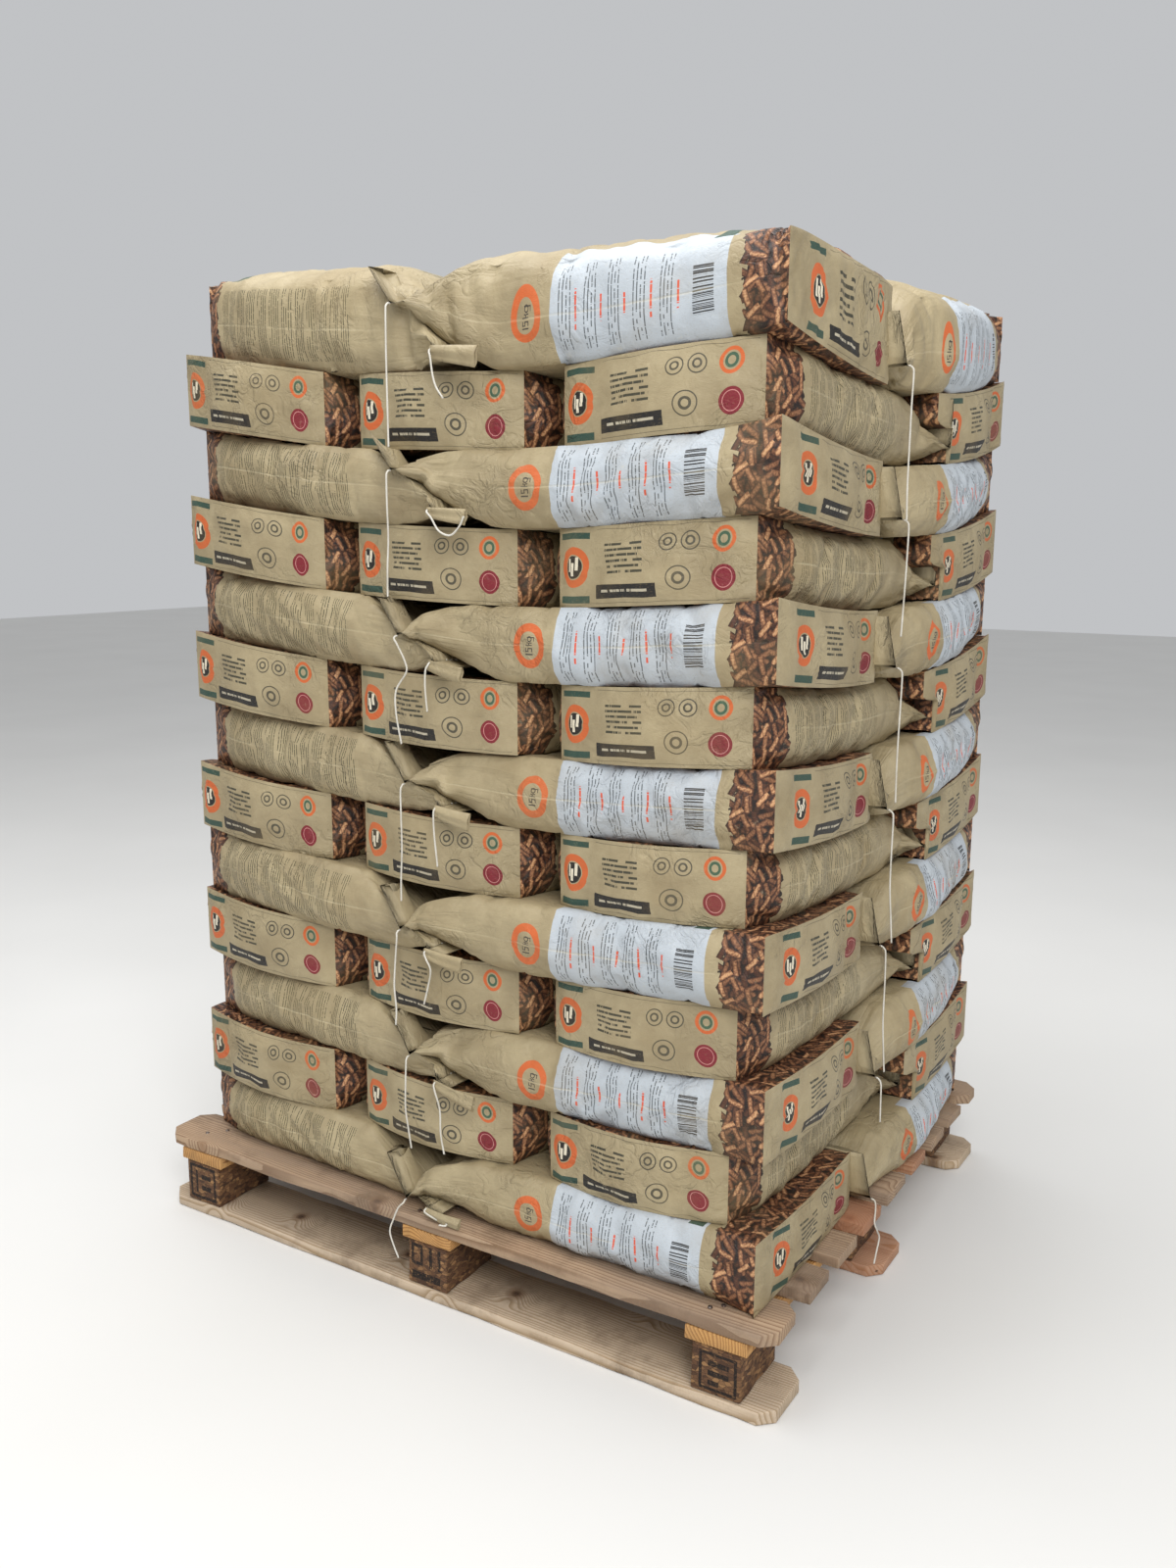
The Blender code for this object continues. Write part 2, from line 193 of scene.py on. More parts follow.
# Print, in metres on the flat sheet: along from the block end, around from under the middle.
# A sack is made shorter past PRINT_END only, and the block end has a field of its own
SHEET_AROUND = 2 * (SACK_WIDTH + SACK_THICKNESS)
PRINT_END = 0.36
END_FIELD = 0.35
END_WIDTH = 0.300
BROAD_END_WIDTH = 0.365
BROAD_END_MARGIN = 0.048
TOP_SIDE_STRETCH = 1.17
PELLET_BAND = 0.064
PELLET_SPACING = 0.019
PELLET_RADIUS = 0.0046
PELLET_HALF = 0.0155
PELLET_COLOURS = ("#1C0D09", "#55311F", "#9C6C4A", "#CC9C70")
PELLET_GAP_COLOUR = "#1E100C"
LABEL_ALONG = (0.087, 0.340)
LABEL_AROUND = (SACK_WIDTH / 2 - 0.010, SACK_WIDTH / 2 + SACK_THICKNESS + 0.010)
RING_ALONG = 0.381
KRAFT = ("#928364", "#AE9F7D")
LABEL_WHITE = "#B5BCC2"
ORANGE = "#C9622F"
GREEN = "#2F4A3E"
INK = "#1B1816"

# Steps by which the patterns of one sack, tab or board differ from the next one's
SACK_STEP = 0.37
TAB_STEP = 1.13
BOARD_STEP = 0.731

# Studio light: (name, place, size, watts)
WORLD_LIGHT = 0.60
LAMPS = (("key_light", (2.6, -3.2, 3.6), 2.4, 150), ("top_light", (-0.6, -0.4, 4.4), 3.0, 130))

# Cotton threads that hang from the sewn corners: three strands twisted to 3 mm. Each route is
# (along the face, out of it, up), from the seam's corner
STRAND_OUTLINE = (0.00155, 0.00145, 0.00110, 0.00145)
TWIST_LENGTH = 0.009
TWIST_STEP = 0.0015
CURVE_SAMPLES = 12
THREAD_EXIT = ((0.0, 0.0, 0.0), (0.0, 0.003, 0.0), (0.0, 0.0075, -0.0035))
LONG_TAILS = {
    1: ((-0.007, 0.012, -0.012), (-0.016, 0.014, -0.034),
        (-0.023, 0.015, -0.056), (-0.016, 0.015, -0.078), (-0.006, 0.015, -0.098)),
    3: ((0.001, 0.010, -0.012), (0.000, 0.011, -0.045),
        (-0.001, 0.011, -0.085), (0.004, 0.011, -0.120), (0.010, 0.012, -0.150)),
    5: ((0.001, 0.009, -0.012), (-0.003, 0.009, -0.050),
        (-0.006, 0.009, -0.090), (-0.003, 0.009, -0.125), (-0.004, 0.010, -0.152)),
    7: ((0.001, 0.011, -0.012), (0.002, 0.012, -0.050),
        (0.003, 0.013, -0.100), (0.001, 0.014, -0.145), (0.002, 0.016, -0.180)),
    9: ((0.008, 0.010, -0.012), (0.022, 0.010, -0.036),
        (0.024, 0.010, -0.052), (0.004, 0.010, -0.080), (0.003, 0.010, -0.115),
        (0.012, 0.010, -0.160)),
    11: ((0.001, 0.010, -0.012), (0.001, 0.010, -0.050),
         (0.002, 0.010, -0.095), (0.000, 0.011, -0.140), (0.000, 0.012, -0.180)),
    13: ((0.001, 0.010, -0.012), (0.001, 0.011, -0.060),
         (0.001, 0.011, -0.110), (0.003, 0.013, -0.155), (0.004, 0.014, -0.198)),
}
SHORT_TAILS = {
    1: ((0.016, 0.008, -0.008), (0.030, 0.004, -0.014),
        (0.042, 0.006, -0.012), (0.046, 0.014, -0.011), (0.036, 0.017, -0.011)),
    3: ((0.004, 0.010, -0.012), (0.014, 0.011, -0.040),
        (0.015, 0.011, -0.080), (0.022, 0.012, -0.112)),
    5: ((0.005, 0.009, -0.012), (0.014, 0.010, -0.028),
        (0.008, 0.010, -0.056), (0.000, 0.010, -0.084)),
    7: ((0.001, 0.010, -0.012), (0.002, 0.010, -0.040),
        (0.008, 0.011, -0.088)),
    9: ((-0.003, 0.010, -0.012), (-0.004, 0.010, -0.038),
        (0.000, 0.011, -0.072)),
    11: ((0.010, 0.010, -0.012), (0.024, 0.011, -0.030),
         (0.044, 0.011, -0.036), (0.060, 0.011, -0.024), (0.068, 0.011, -0.010)),
    13: ((0.004, 0.010, -0.012), (0.008, 0.011, -0.034),
         (0.014, 0.011, -0.052), (0.026, 0.011, -0.068)),
}
RIGHT_TAILS = {
    1: ((-0.006, 0.011, -0.012), (-0.014, 0.013, -0.032),
        (-0.002, 0.014, -0.052), (0.010, 0.014, -0.070), (-0.001, 0.014, -0.090),
        (-0.010, 0.014, -0.106)),
    3: ((0.000, 0.010, -0.012), (-0.001, 0.011, -0.040),
        (-0.002, 0.012, -0.072)),
    5: ((0.000, 0.010, -0.012), (0.000, 0.011, -0.060),
        (-0.003, 0.012, -0.120), (0.000, 0.014, -0.170), (0.002, 0.016, -0.206)),
    7: ((0.000, 0.010, -0.012), (-0.004, 0.011, -0.060),
        (-0.006, 0.012, -0.120), (-0.001, 0.014, -0.170), (0.002, 0.016, -0.210)),
    9: ((-0.001, 0.010, -0.012), (-0.006, 0.011, -0.060),
        (-0.012, 0.012, -0.115), (-0.018, 0.014, -0.160), (-0.022, 0.016, -0.200)),
    11: ((-0.001, 0.010, -0.012), (-0.006, 0.011, -0.060),
         (-0.014, 0.012, -0.120), (-0.022, 0.013, -0.168)),
    13: ((-0.002, 0.010, -0.012), (-0.008, 0.011, -0.060),
         (-0.012, 0.012, -0.120), (-0.018, 0.014, -0.175), (-0.020, 0.016, -0.218)),
}

# Timber: rounded sawn edges, chips along them, and which boards are redder
ARRIS = 0.0018
CHIP = 0.0011
RED_BOARDS = {"deck_board_4": 0.9, "deck_board_6": 0.8, "bottom_board_middle": 1.0}
KNOT_SCALE = 5.5
RING_WIDTH = 0.0055
SAW_PITCH = 0.0045
CHIP_SCALE = 105.0
NAIL_RADIUS = 0.004
NAIL_HEIGHT = 0.0016

# Strokes burnt into the front blocks: (left, right, bottom, top), as shares of the block's face
STAMPS = {
    "block_front_left": ((0.08, 0.90, 0.08, 0.15), (0.08, 0.90, 0.85, 0.92), (0.08, 0.15, 0.08, 0.92),
                         (0.83, 0.90, 0.08, 0.92), (0.26, 0.32, 0.22, 0.78), (0.44, 0.74, 0.30, 0.42),
                         (0.44, 0.74, 0.58, 0.70)),
    "block_front_middle": ((0.08, 0.15, 0.44, 0.92), (0.31, 0.38, 0.44, 0.92), (0.08, 0.38, 0.44, 0.51),
                           (0.08, 0.38, 0.85, 0.92), (0.54, 0.62, 0.44, 0.92), (0.76, 0.84, 0.44, 0.92),
                           (0.10, 0.82, 0.12, 0.29)),
    "block_front_right": ((0.16, 0.92, 0.08, 0.14), (0.16, 0.92, 0.80, 0.86), (0.16, 0.22, 0.08, 0.86),
                          (0.86, 0.92, 0.08, 0.86), (0.34, 0.76, 0.58, 0.69), (0.34, 0.76, 0.38, 0.49),
                          (0.34, 0.56, 0.19, 0.29)),
}


def srgb(code):
    """Linear colour of an sRGB hex value."""
    parts = [int(code[i:i + 2], 16) / 255 for i in (1, 3, 5)]
    return tuple(c / 12.92 if c <= 0.04045 else ((c + 0.055) / 1.055) ** 2.4 for c in parts) + (1.0,)


# Camera

def make_camera():
    """The camera that looks at the pallet as the photograph does."""
    camera = bpy.data.cameras.new("photo_camera")
    camera.sensor_width = SENSOR
    camera.lens = FOCAL_PIXELS / IMAGE_HEIGHT * SENSOR
    camera.clip_start = 0.05
    camera.clip_end = 50.0
    obj = bpy.data.objects.new("photo_camera", camera)
    forward = Vector((math.sin(CAMERA_YAW) * math.cos(CAMERA_PITCH),
                      math.cos(CAMERA_YAW) * math.cos(CAMERA_PITCH), math.sin(CAMERA_PITCH)))
    level_right = forward.cross(Vector((0.0, 0.0, 1.0))).normalized()
    level_up = level_right.cross(forward)
    right = level_right * math.cos(CAMERA_ROLL) + level_up * math.sin(CAMERA_ROLL)
    up = level_up * math.cos(CAMERA_ROLL) - level_right * math.sin(CAMERA_ROLL)
    turn = Matrix((right, up, -forward)).transposed()
    obj.matrix_world = Matrix.Translation(CAMERA_PLACE) @ turn.to_4x4()
    bpy.context.scene.collection.objects.link(obj)
    bpy.context.scene.camera = obj


# Lay-out of the stack

def blend(start, end, share):
    """Value a share of the way from start to end."""
    return start + (end - start) * share


def ease(value):
    """Smooth step of a value held between 0 and 1."""
    held = np.clip(value, 0.0, 1.0)
    return held * held * (3.0 - 2.0 * held)


def stack_place(x, y):
    """Place in the plan of the stack, from -1 to 1 each way."""
    return np.clip(x / STACK_HALF_X, -1.0, 1.0), np.clip(y / STACK_HALF_Y, -1.0, 1.0)


def settled(u, v):
    """Share of the dip at a place: 1 in the middle of the stack, and 0 at its corners."""
    return 1 - 0.3 * u * u - 0.3 * v * v - 0.4 * u * u * v * v


def level(number, x, y):
    """Height of the top of a layer. The middle settles, where the thin sewn ends meet."""
    if number == 0:
        return DECK_TOP + 0.0 * x
    u, v = stack_place(x, y)
    front = blend(PITCH_FRONT_LEFT, PITCH_FRONT_RIGHT, (u + 1) / 2)
    back = blend(PITCH_BACK_LEFT, PITCH_BACK_RIGHT, (u + 1) / 2)
    pitch = blend(front, back, (v + 1) / 2)
    return DECK_TOP + number * pitch - (DIP_FIRST + DIP_STEP * number) * settled(u, v)


def top_swell(t, side, x, y):
    """How far the face of a top sack stands above its layer's level. Its block end is square."""
    filled = DIP_FIRST + DIP_STEP * LAYERS - TOP_DIP
    crown = TOP_CROWN * (1 - side ** 4) * ease(0.15 + t * 3.5) - TOP_DROOP * side ** 6
    return filled * settled(*stack_place(x, y)) + crown


def wobble(number, piece, size):
    """Small uneven shift of one sack, the same each time."""
    return size * math.sin(2.4 * number + 1.9 * piece * piece + piece)


def way_of(number):
    """1 for an odd layer, with its long sacks in front, and -1 for an even one, turned round."""
    return 1.0 if number % 2 else -1.0


def sack_places(number):
    """Five sacks: the two long ones, right then left, and the row of three, left to right.

    Each is ((end x, end y, heading), length, seam share). An odd layer has its long sacks in
    front, and an even layer is the same turned half round.
    """
    way = way_of(number)
    base = 0.0 if number % 2 else math.pi
    long_y = -way * (STACK_HALF_Y - SACK_WIDTH / 2)
    front = FRONT_INSET.get(number, 0.0)
    left, back = LEFT_LAY.get(number, BACK_LAY)
    shift = ROW_SHIFT.get(number, 0.0)
    row_length = ODD_ROW_LENGTH if number % 2 else EVEN_ROW_LENGTH
    sacks = [
        ((way * LONG_END_X, long_y + way * front, base), SACK_LENGTH,
         FRONT_SEAM_SHARE.get(number, BACK_SEAM_SHARE)),
        ((-way * (LONG_END_X - left), long_y + way * (front + back),
          base + math.pi - back / LEFT_SACK_LENGTH), LEFT_SACK_LENGTH, LEFT_SEAM_SHARE),
    ]
    for piece in (-1, 0, 1):
        x = piece * way * ROW_PITCH - shift + wobble(number, piece, PLACE_SPREAD)
        y = way * (ROW_END_Y + wobble(number, piece + 3, PLACE_SPREAD))
        heading = base + math.pi / 2 + wobble(number, piece + 6, YAW_SPREAD)
        if number % 2 and piece == 1:
            x += BACK_RIGHT_LEAN
            heading -= BACK_RIGHT_LEAN / row_length
        sacks.append(((x, y, heading), row_length, ROW_SEAM_SHARE))
    return sacks


def drawn_back(x, y, heading, along, across):
    """A place moved along a sack, away from its block end, and across it."""
    return (x - math.cos(heading) * along - math.sin(heading) * across,
            y - math.sin(heading) * along + math.cos(heading) * across)


def seam_corner(number, sack, side):
    """Outer corner of a sack's sewn seam. Side is 1 to the left of its heading, or -1."""
    place, length, share = sack
    x, y = drawn_back(*place, length, side * (1 + SEAM_SPREAD) * SACK_WIDTH / 2)
    low = level(number - 1, x, y)
    return Vector((x, y, low + share * (level(number, x, y) - low)))


# Threads

def smooth_run(points, step):
    """Points a step apart on a smooth curve, after one straight step out."""
    ends = points + [points[-1] * 2 - points[-2]]
    fine = []
    for a, b, c, d in zip(ends, ends[1:], ends[2:], ends[3:]):
        for part in range(CURVE_SAMPLES):
            t = part / CURVE_SAMPLES
            fine.append(0.5 * (2 * b + (c - a) * t + (2 * a - 5 * b + 4 * c - d) * t * t
                               + (3 * b - a - 3 * c + d) * t ** 3))
    fine.append(points[-1])
    total = sum((b - a).length for a, b in zip(fine, fine[1:]))
    count = round(total / step)
    run = [fine[0]]
    walked = 0.0
    for a, b in zip(fine, fine[1:]):
        span = (b - a).length
        while len(run) < count and walked + span >= len(run) * total / count:
            run.append(a.lerp(b, (len(run) * total / count - walked) / span))
        walked += span
    return [points[0]] + run + [fine[-1]]


def strand_profile(outline):
    """Cross section of three strands laid together, from the radii of one strand."""
    curve = bpy.data.curves.new("strands", "CURVE")
    spline = curve.splines.new("POLY")
    count = 3 * len(outline)
    spline.points.add(count - 1)
    spline.use_cyclic_u = True
    for index, point in enumerate(spline.points):
        angle = math.tau * index / count
        radius = outline[index % len(outline)]
        point.co = (radius * math.cos(angle), radius * math.sin(angle), 0.0, 1.0)
    profile = bpy.data.objects.new("strands", curve)
    bpy.context.scene.collection.objects.link(profile)
    return profile


def twisted_mesh(name, run, profile):
    """Closed tube of twisted strands along the points."""
    curve = bpy.data.curves.new(name, "CURVE")
    curve.dimensions = "3D"
    curve.bevel_mode = "OBJECT"
    curve.bevel_object = profile
    curve.use_fill_caps = True
    spline = curve.splines.new("POLY")
    spline.points.add(len(run) - 1)
    walked = 0.0
    for index, (point, spot) in enumerate(zip(spline.points, run)):
        walked += (spot - run[max(index - 1, 0)]).length
        point.co = (*spot, 1.0)
        point.tilt = math.tau * walked / TWIST_LENGTH
    maker = bpy.data.objects.new(name, curve)
    bpy.context.scene.collection.objects.link(maker)
    graph = bpy.context.evaluated_depsgraph_get()
    bm = bmesh.new()
    tube = bpy.data.meshes.new_from_object(maker.evaluated_get(graph))
    bm.from_mesh(tube)
    bmesh.ops.remove_doubles(bm, verts=bm.verts, dist=1e-6)
    bmesh.ops.recalc_face_normals(bm, faces=bm.faces)
    bm.to_mesh(tube)
    bm.free()
    bpy.data.objects.remove(maker)
    bpy.data.curves.remove(curve)
    return tube


def show(name, mesh, material, replaced=(), smooth=True):
    """A finished piece in the scene, riding on the load."""
    obj = bpy.data.objects.new(name, mesh)
    bpy.context.scene.collection.objects.link(obj)
    if not mesh.materials:
        mesh.materials.append(material)
    if smooth:
        mesh.shade_smooth()
    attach(obj, "root")
    if replaced:
        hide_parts(*replaced)
    return obj


def make_thread(node, start, side, out, steps, profile, material):
    """One tail that leaves the seam's corner, drops over the sack below and ends bare."""
    up = Vector((0.0, 0.0, 1.0))
    first = start + out * TOUCH_GAP
    points = [first + side * a + out * b + up * c for a, b, c in THREAD_EXIT + steps]
    run = smooth_run(points, TWIST_STEP)
    name = "tail_" + node[7:]
    obj = show(name, twisted_mesh(name, run, profile), material, [node])


def make_threads(material):
    """Tails at the outer corners of the front sacks' seams and of the right back sack's."""
    along = Vector((1.0, 0.0, 0.0))
    ahead = Vector((0.0, -1.0, 0.0))
    profile = strand_profile(STRAND_OUTLINE)
    for number in range(1, LAYERS + 1, 2):
        right, left, _, _, back_right = sack_places(number)
        make_thread(f"thread_front_{number:02d}", seam_corner(number, right, -1), along, ahead,
                    LONG_TAILS[number], profile, material)
        make_thread(f"thread_left_{number:02d}", seam_corner(number, left, 1), along, ahead,
                    SHORT_TAILS[number], profile, material)
        make_thread(f"thread_right_{number:02d}", seam_corner(number, back_right, -1), -ahead,
                    along, RIGHT_TAILS[number], profile, material)
    bpy.data.objects.remove(profile)


# Sacks

def finished_mesh(bm, name):
    """The shape as a mesh."""
    mesh = bpy.data.meshes.new(name)
    bm.to_mesh(mesh)
    bm.free()
    return mesh


def mark(mesh, name, value):
    """Gives a whole mesh the value that its material reads under a name."""
    own = mesh.attributes.new(name, "FLOAT", "POINT")
    own.data.foreach_set("value", np.full(len(mesh.vertices), value))


def spread(b):
    """Places across a sack, closer together towards its edges."""
    return np.sin(b * 1.35) / math.sin(1.35)


def grid_cube(size, *parts):
    """A cube cut into a grid. Each of the parts is an axis and the count along it."""
    bm = bmesh.new()
    bmesh.ops.create_cube(bm, size=size)
    for axis, count in parts:
        along = [edge for edge in bm.edges
                 if abs(edge.verts[0].co[axis] - edge.verts[1].co[axis]) > 0.95 * size]
        bmesh.ops.subdivide_edges(bm, edges=along, cuts=count - 1, use_grid_fill=True)
    return bm


def sack_cage(across):
    """A box cut into a grid, with its far end pressed into a flat hem of two sheets."""
    bm = grid_cube(2.0, (0, BODY_ROWS + HEM_ROWS), (1, across), (2, UPRIGHT_PARTS))
    for vert in bm.verts:
        if grid_row(vert.co.x) > BODY_ROWS - 0.5 and abs(vert.co.z) > 1e-4:
            vert.co.z = math.copysign(1.0, vert.co.z)
    bmesh.ops.remove_doubles(bm, verts=bm.verts, dist=1e-4)
    bmesh.ops.recalc_face_normals(bm, faces=bm.faces)
    return bm


def grid_row(a):
    """Row of the sack's grid at a place along the cube."""
    return (a + 1) / 2 * (BODY_ROWS + HEM_ROWS)


def body_share(cube):
    """Share of the way from the block end to the seam."""
    return np.clip(grid_row(cube[:, 0]) / BODY_ROWS, 0, 1)


def panel_of(middle):
    """Number of the printed panel that a face belongs to, in the order of the materials."""
    if middle.x < -ON_FACE:
        return 0
    if middle.y < -ON_FACE:
        return 1
    return 2 if middle.y > ON_FACE else 3


def print_spot(spot, middle):
    """Where a corner of a face lies on the flat printed sheet, in metres.

    Along is the distance from the block end, and around runs from the middle of the underside,
    over the label side, the top and the text side. The block end has a field of its own.
    """
    a, b, c = spot
    side = float(spread(b))
    half = SACK_WIDTH / 2
    up = (c + 1) / 2 * SACK_THICKNESS
    if middle.x < -ON_FACE:
        return -END_FIELD + (side + 1) / 2 * END_WIDTH, up
    row = grid_row(a)
    along = min(row / BODY_ROWS, 1.0) * SACK_LENGTH + max(row - BODY_ROWS, 0.0) / HEM_ROWS * HEM_LENGTH
    if middle.z < -ON_FACE:
        around = -side * half if middle.y < 0 else SHEET_AROUND - side * half
    elif middle.y < -ON_FACE:
        around = half + up
    elif middle.z > ON_FACE:
        around = half + SACK_THICKNESS + (side + 1) * half
    else:
        around = SHEET_AROUND - half - up
    return along, around


def sack_mesh(name, across):
    """The grid's mesh with its print map, and each point's place on the cube."""
    bm = sack_cage(across)
    sheet = bm.loops.layers.uv.new("print")
    for face in bm.faces:
        middle = face.calc_center_median()
        face.smooth = True
        face.material_index = panel_of(middle)
        for loop in face.loops:
            loop[sheet].uv = print_spot(loop.vert.co, middle)
    for edge in bm.edges:
        first, second = (vert.co for vert in edge.verts)
        at_end = first.x < -ON_FACE and second.x < -ON_FACE
        on_side = abs(first.y) > ON_FACE and abs(second.y) > ON_FACE
        on_flat = abs(first.z) > ON_FACE and abs(second.z) > ON_FACE
        at_seam = max(abs(grid_row(vert.co.x) - BODY_ROWS) for vert in edge.verts) < 0.1
        edge.smooth = not (at_seam or (at_end and (on_side or on_flat)))
    mesh = finished_mesh(bm, name)
    return mesh, points_of(mesh)


def points_of(mesh):
    """The mesh's points as an array."""
    flat = np.empty(len(mesh.vertices) * 3)
    mesh.vertices.foreach_get("co", flat)
    return flat.reshape(-1, 3)


def taper_share(t):
    """How far the sack has drawn together: 0 in its body, and 1 at the seam."""
    return np.clip((t - TAPER_START) / (1 - TAPER_START), 0, 1)


def thickness_share(t):
    """How full the sack is at a share of its length."""
    return np.cos(math.pi / 2 * taper_share(t)) ** 0.9


def end_share(t):
    """How much the shape of the block end still counts at a share of the length."""
    return np.exp(-(t / 0.10) ** 1.1)


def end_crown(t, b, size):
    """How far the edges of the block end lie back behind its middle."""
    return size * np.abs(b) ** 1.7 * np.clip(1 - t / 0.25, 0, 1)


def filled_shape(cube):
    """Metres of each point of the filled sack: along, across, and up from its middle."""
    t = body_share(cube)
    hem = np.clip((grid_row(cube[:, 0]) - BODY_ROWS) / HEM_ROWS, 0, 1)
    b = spread(cube[:, 1])
    c = cube[:, 2]
    taper = taper_share(t)
    wide = 1 - (1 - END_CHORD) * end_share(t) + SEAM_SPREAD * taper ** 2
    high = np.maximum(SACK_THICKNESS / 2 * thickness_share(t), HEM_HALF)
    bulge = SIDE_BULGE * (1 - np.exp(-t / 0.05)) + 0.02 * taper
    across = b * SACK_WIDTH / 2 * wide * (1 - bulge * np.abs(c) ** (3.0 - 1.9 * taper))
    bow = END_BOW * np.clip(1 - b ** 2, 0, 1) * np.clip(1 - c ** 2, 0, 1) * (cube[:, 0] < -ON_FACE)
    along = t * SACK_LENGTH + end_crown(t, b, END_CROWN) - bow + hem * HEM_LENGTH
    return np.stack([along, across, c * high], 1)


def ripples(points, seed, shortest, longest, waves=10):
    """Soft uneven waves, about 1 high."""
    dice = np.random.default_rng(seed)
    total = np.zeros(len(points))
    for _ in range(waves):
        direction = dice.normal(size=3)
        direction /= np.linalg.norm(direction)
        length = dice.uniform(shortest, longest)
        total += np.sin(points @ direction * math.tau / length + dice.uniform(0, math.tau))
    return total / math.sqrt(waves)


def hold_of(cube, flat_hold):
    """How firmly each point keeps its place while the paper buckles."""
    row = grid_row(cube[:, 0]) / BODY_ROWS
    on_flat = np.abs(cube[:, 2]) > ON_FACE
    at_end = cube[:, 0] < -ON_FACE
    rim = at_end & ((np.abs(cube[:, 1]) > ON_FACE) | on_flat)
    hold = np.where(on_flat & (row < 0.74), flat_hold, SIDE_HOLD)
    hold = np.where(row > 0.76, SEWN_END_HOLD, hold)
    hold = np.where(at_end, BLOCK_END_HOLD, hold)
    return np.where(rim | (row > 0.985), 1.0, hold)


def settled_points(obj):
    """The points of a cloth object after its last frame. The object is used up."""
    for moment in range(1, PAPER_FRAMES + 1):
        bpy.context.scene.frame_set(moment)
    done = obj.evaluated_get(bpy.context.evaluated_depsgraph_get())
    points = points_of(done.to_mesh())
    done.to_mesh_clear()
    bpy.data.objects.remove(obj)
    bpy.context.scene.frame_set(1)
    return points


def crumple(name, mesh, cube, points, excess, flat_hold):
    """The points after the paper has buckled as cloth that is cut a little too large."""
    hold = hold_of(cube, flat_hold)
    mesh.vertices.foreach_set("co", points.ravel())
    obj = bpy.data.objects.new(name, mesh)
    bpy.context.scene.collection.objects.link(obj)
    group = obj.vertex_groups.new(name="hold")
    for value in np.unique(hold):
        group.add(np.nonzero(hold == value)[0].tolist(), float(value), "REPLACE")
    cloth = obj.modifiers.new("paper", "CLOTH")
    for setting, value in PAPER_CLOTH.items():
        setattr(cloth.settings, setting, value)
    cloth.settings.shrink_min = -excess
    cloth.settings.vertex_group_mass = "hold"
    cloth.settings.effector_weights.gravity = 0
    cloth.collision_settings.use_collision = False
    cloth.collision_settings.use_self_collision = False
    cloth.point_cache.frame_start = 1
    cloth.point_cache.frame_end = PAPER_FRAMES
    move = settled_points(obj) - points
    size = np.linalg.norm(move, axis=1)
    return points + move * (np.minimum(size, MOST_MOVE) / np.maximum(size, 1e-9))[:, None]


def mirror_of(cube, axis):
    """For each point, the number of the point opposite it."""
    keys = np.round(cube * 1000).astype(int)
    number = {tuple(key): index for index, key in enumerate(keys)}
    keys[:, axis] *= -1
    return np.array([number[tuple(key)] for key in keys])


def sack_form(name, across, seed, excess, flat_hold):
    """A simulated sack, ready to be laid many times."""
    mesh, cube = sack_mesh(name, across)
    points = filled_shape(cube)
    free = (cube[:, 0] > -ON_FACE) & (grid_row(cube[:, 0]) < BODY_ROWS - 1)
    start = ripples(points, seed, 0.035, 0.11) * 0.0012 * free
    for axis in (1, 2):
        points[:, axis] += start * np.sign(cube[:, axis]) * (np.abs(cube[:, axis]) > ON_FACE)
    points = crumple(name, mesh, cube, points, excess, flat_hold)
    return {"mesh": mesh, "cube": cube, "points": points,
            "twins": [mirror_of(cube, 1), mirror_of(cube, 2)]}


def chosen_points(form, mirrored, turned):
    """The form's points, mirrored across or upside down so that no two neighbours match."""
    points = form["points"].copy()
    if mirrored:
        points = points[form["twins"][0]] * (1, -1, 1)
    if turned:
        points = points[form["twins"][1]] * (1, 1, -1)
    return points


def has_broad_end(number, which):
    """All of an odd layer but its left front sack, and the two long sacks of an even one."""
    return which != 1 if number % 2 else which < 2


def square_end(points, cube, t):
    """Gives the block end almost its full width, and lets it stand almost flat."""
    e = end_share(t)
    points[:, 1] *= (1 - (1 - BROAD_CHORD) * e) / (1 - (1 - END_CHORD) * e)
    points[:, 0] -= end_crown(t, spread(cube[:, 1]), 0.8 * END_CROWN)


def sheet_of(mesh):
    """The print map of a mesh as one flat array: along and around in turn."""
    sheet = mesh.uv_layers["print"].data
    flat = np.empty(len(sheet) * 2)
    sheet.foreach_get("uv", flat)
    return sheet, flat


def shift_end_print(mesh):
    """A wider block end shows more bare paper before the ring."""
    sheet, flat = sheet_of(mesh)
    on_end = flat[0::2] < -0.02
    share = (flat[0::2] + END_FIELD) / END_WIDTH
    flat[0::2] = np.where(on_end, share * BROAD_END_WIDTH - BROAD_END_MARGIN - END_FIELD,
                          flat[0::2])
    sheet.foreach_set("uv", flat)


def stretch_side_print(mesh):
    """The sides of a top sack swell, and their print keeps its size."""
    panels = np.empty(len(mesh.polygons), int)
    mesh.polygons.foreach_get("material_index", panels)
    corners = np.empty(len(mesh.polygons), int)
    mesh.polygons.foreach_get("loop_total", corners)
    panels = np.repeat(panels, corners)
    sheet, flat = sheet_of(mesh)
    for panel, edge in ((1, SACK_WIDTH / 2), (2, SHEET_AROUND - SACK_WIDTH / 2 - SACK_THICKNESS)):
        middle = edge + SACK_THICKNESS / 2
        flat[1::2] = np.where(panels == panel, middle + (flat[1::2] - middle) * TOP_SIDE_STRETCH,
                              flat[1::2])
    sheet.foreach_set("uv", flat)


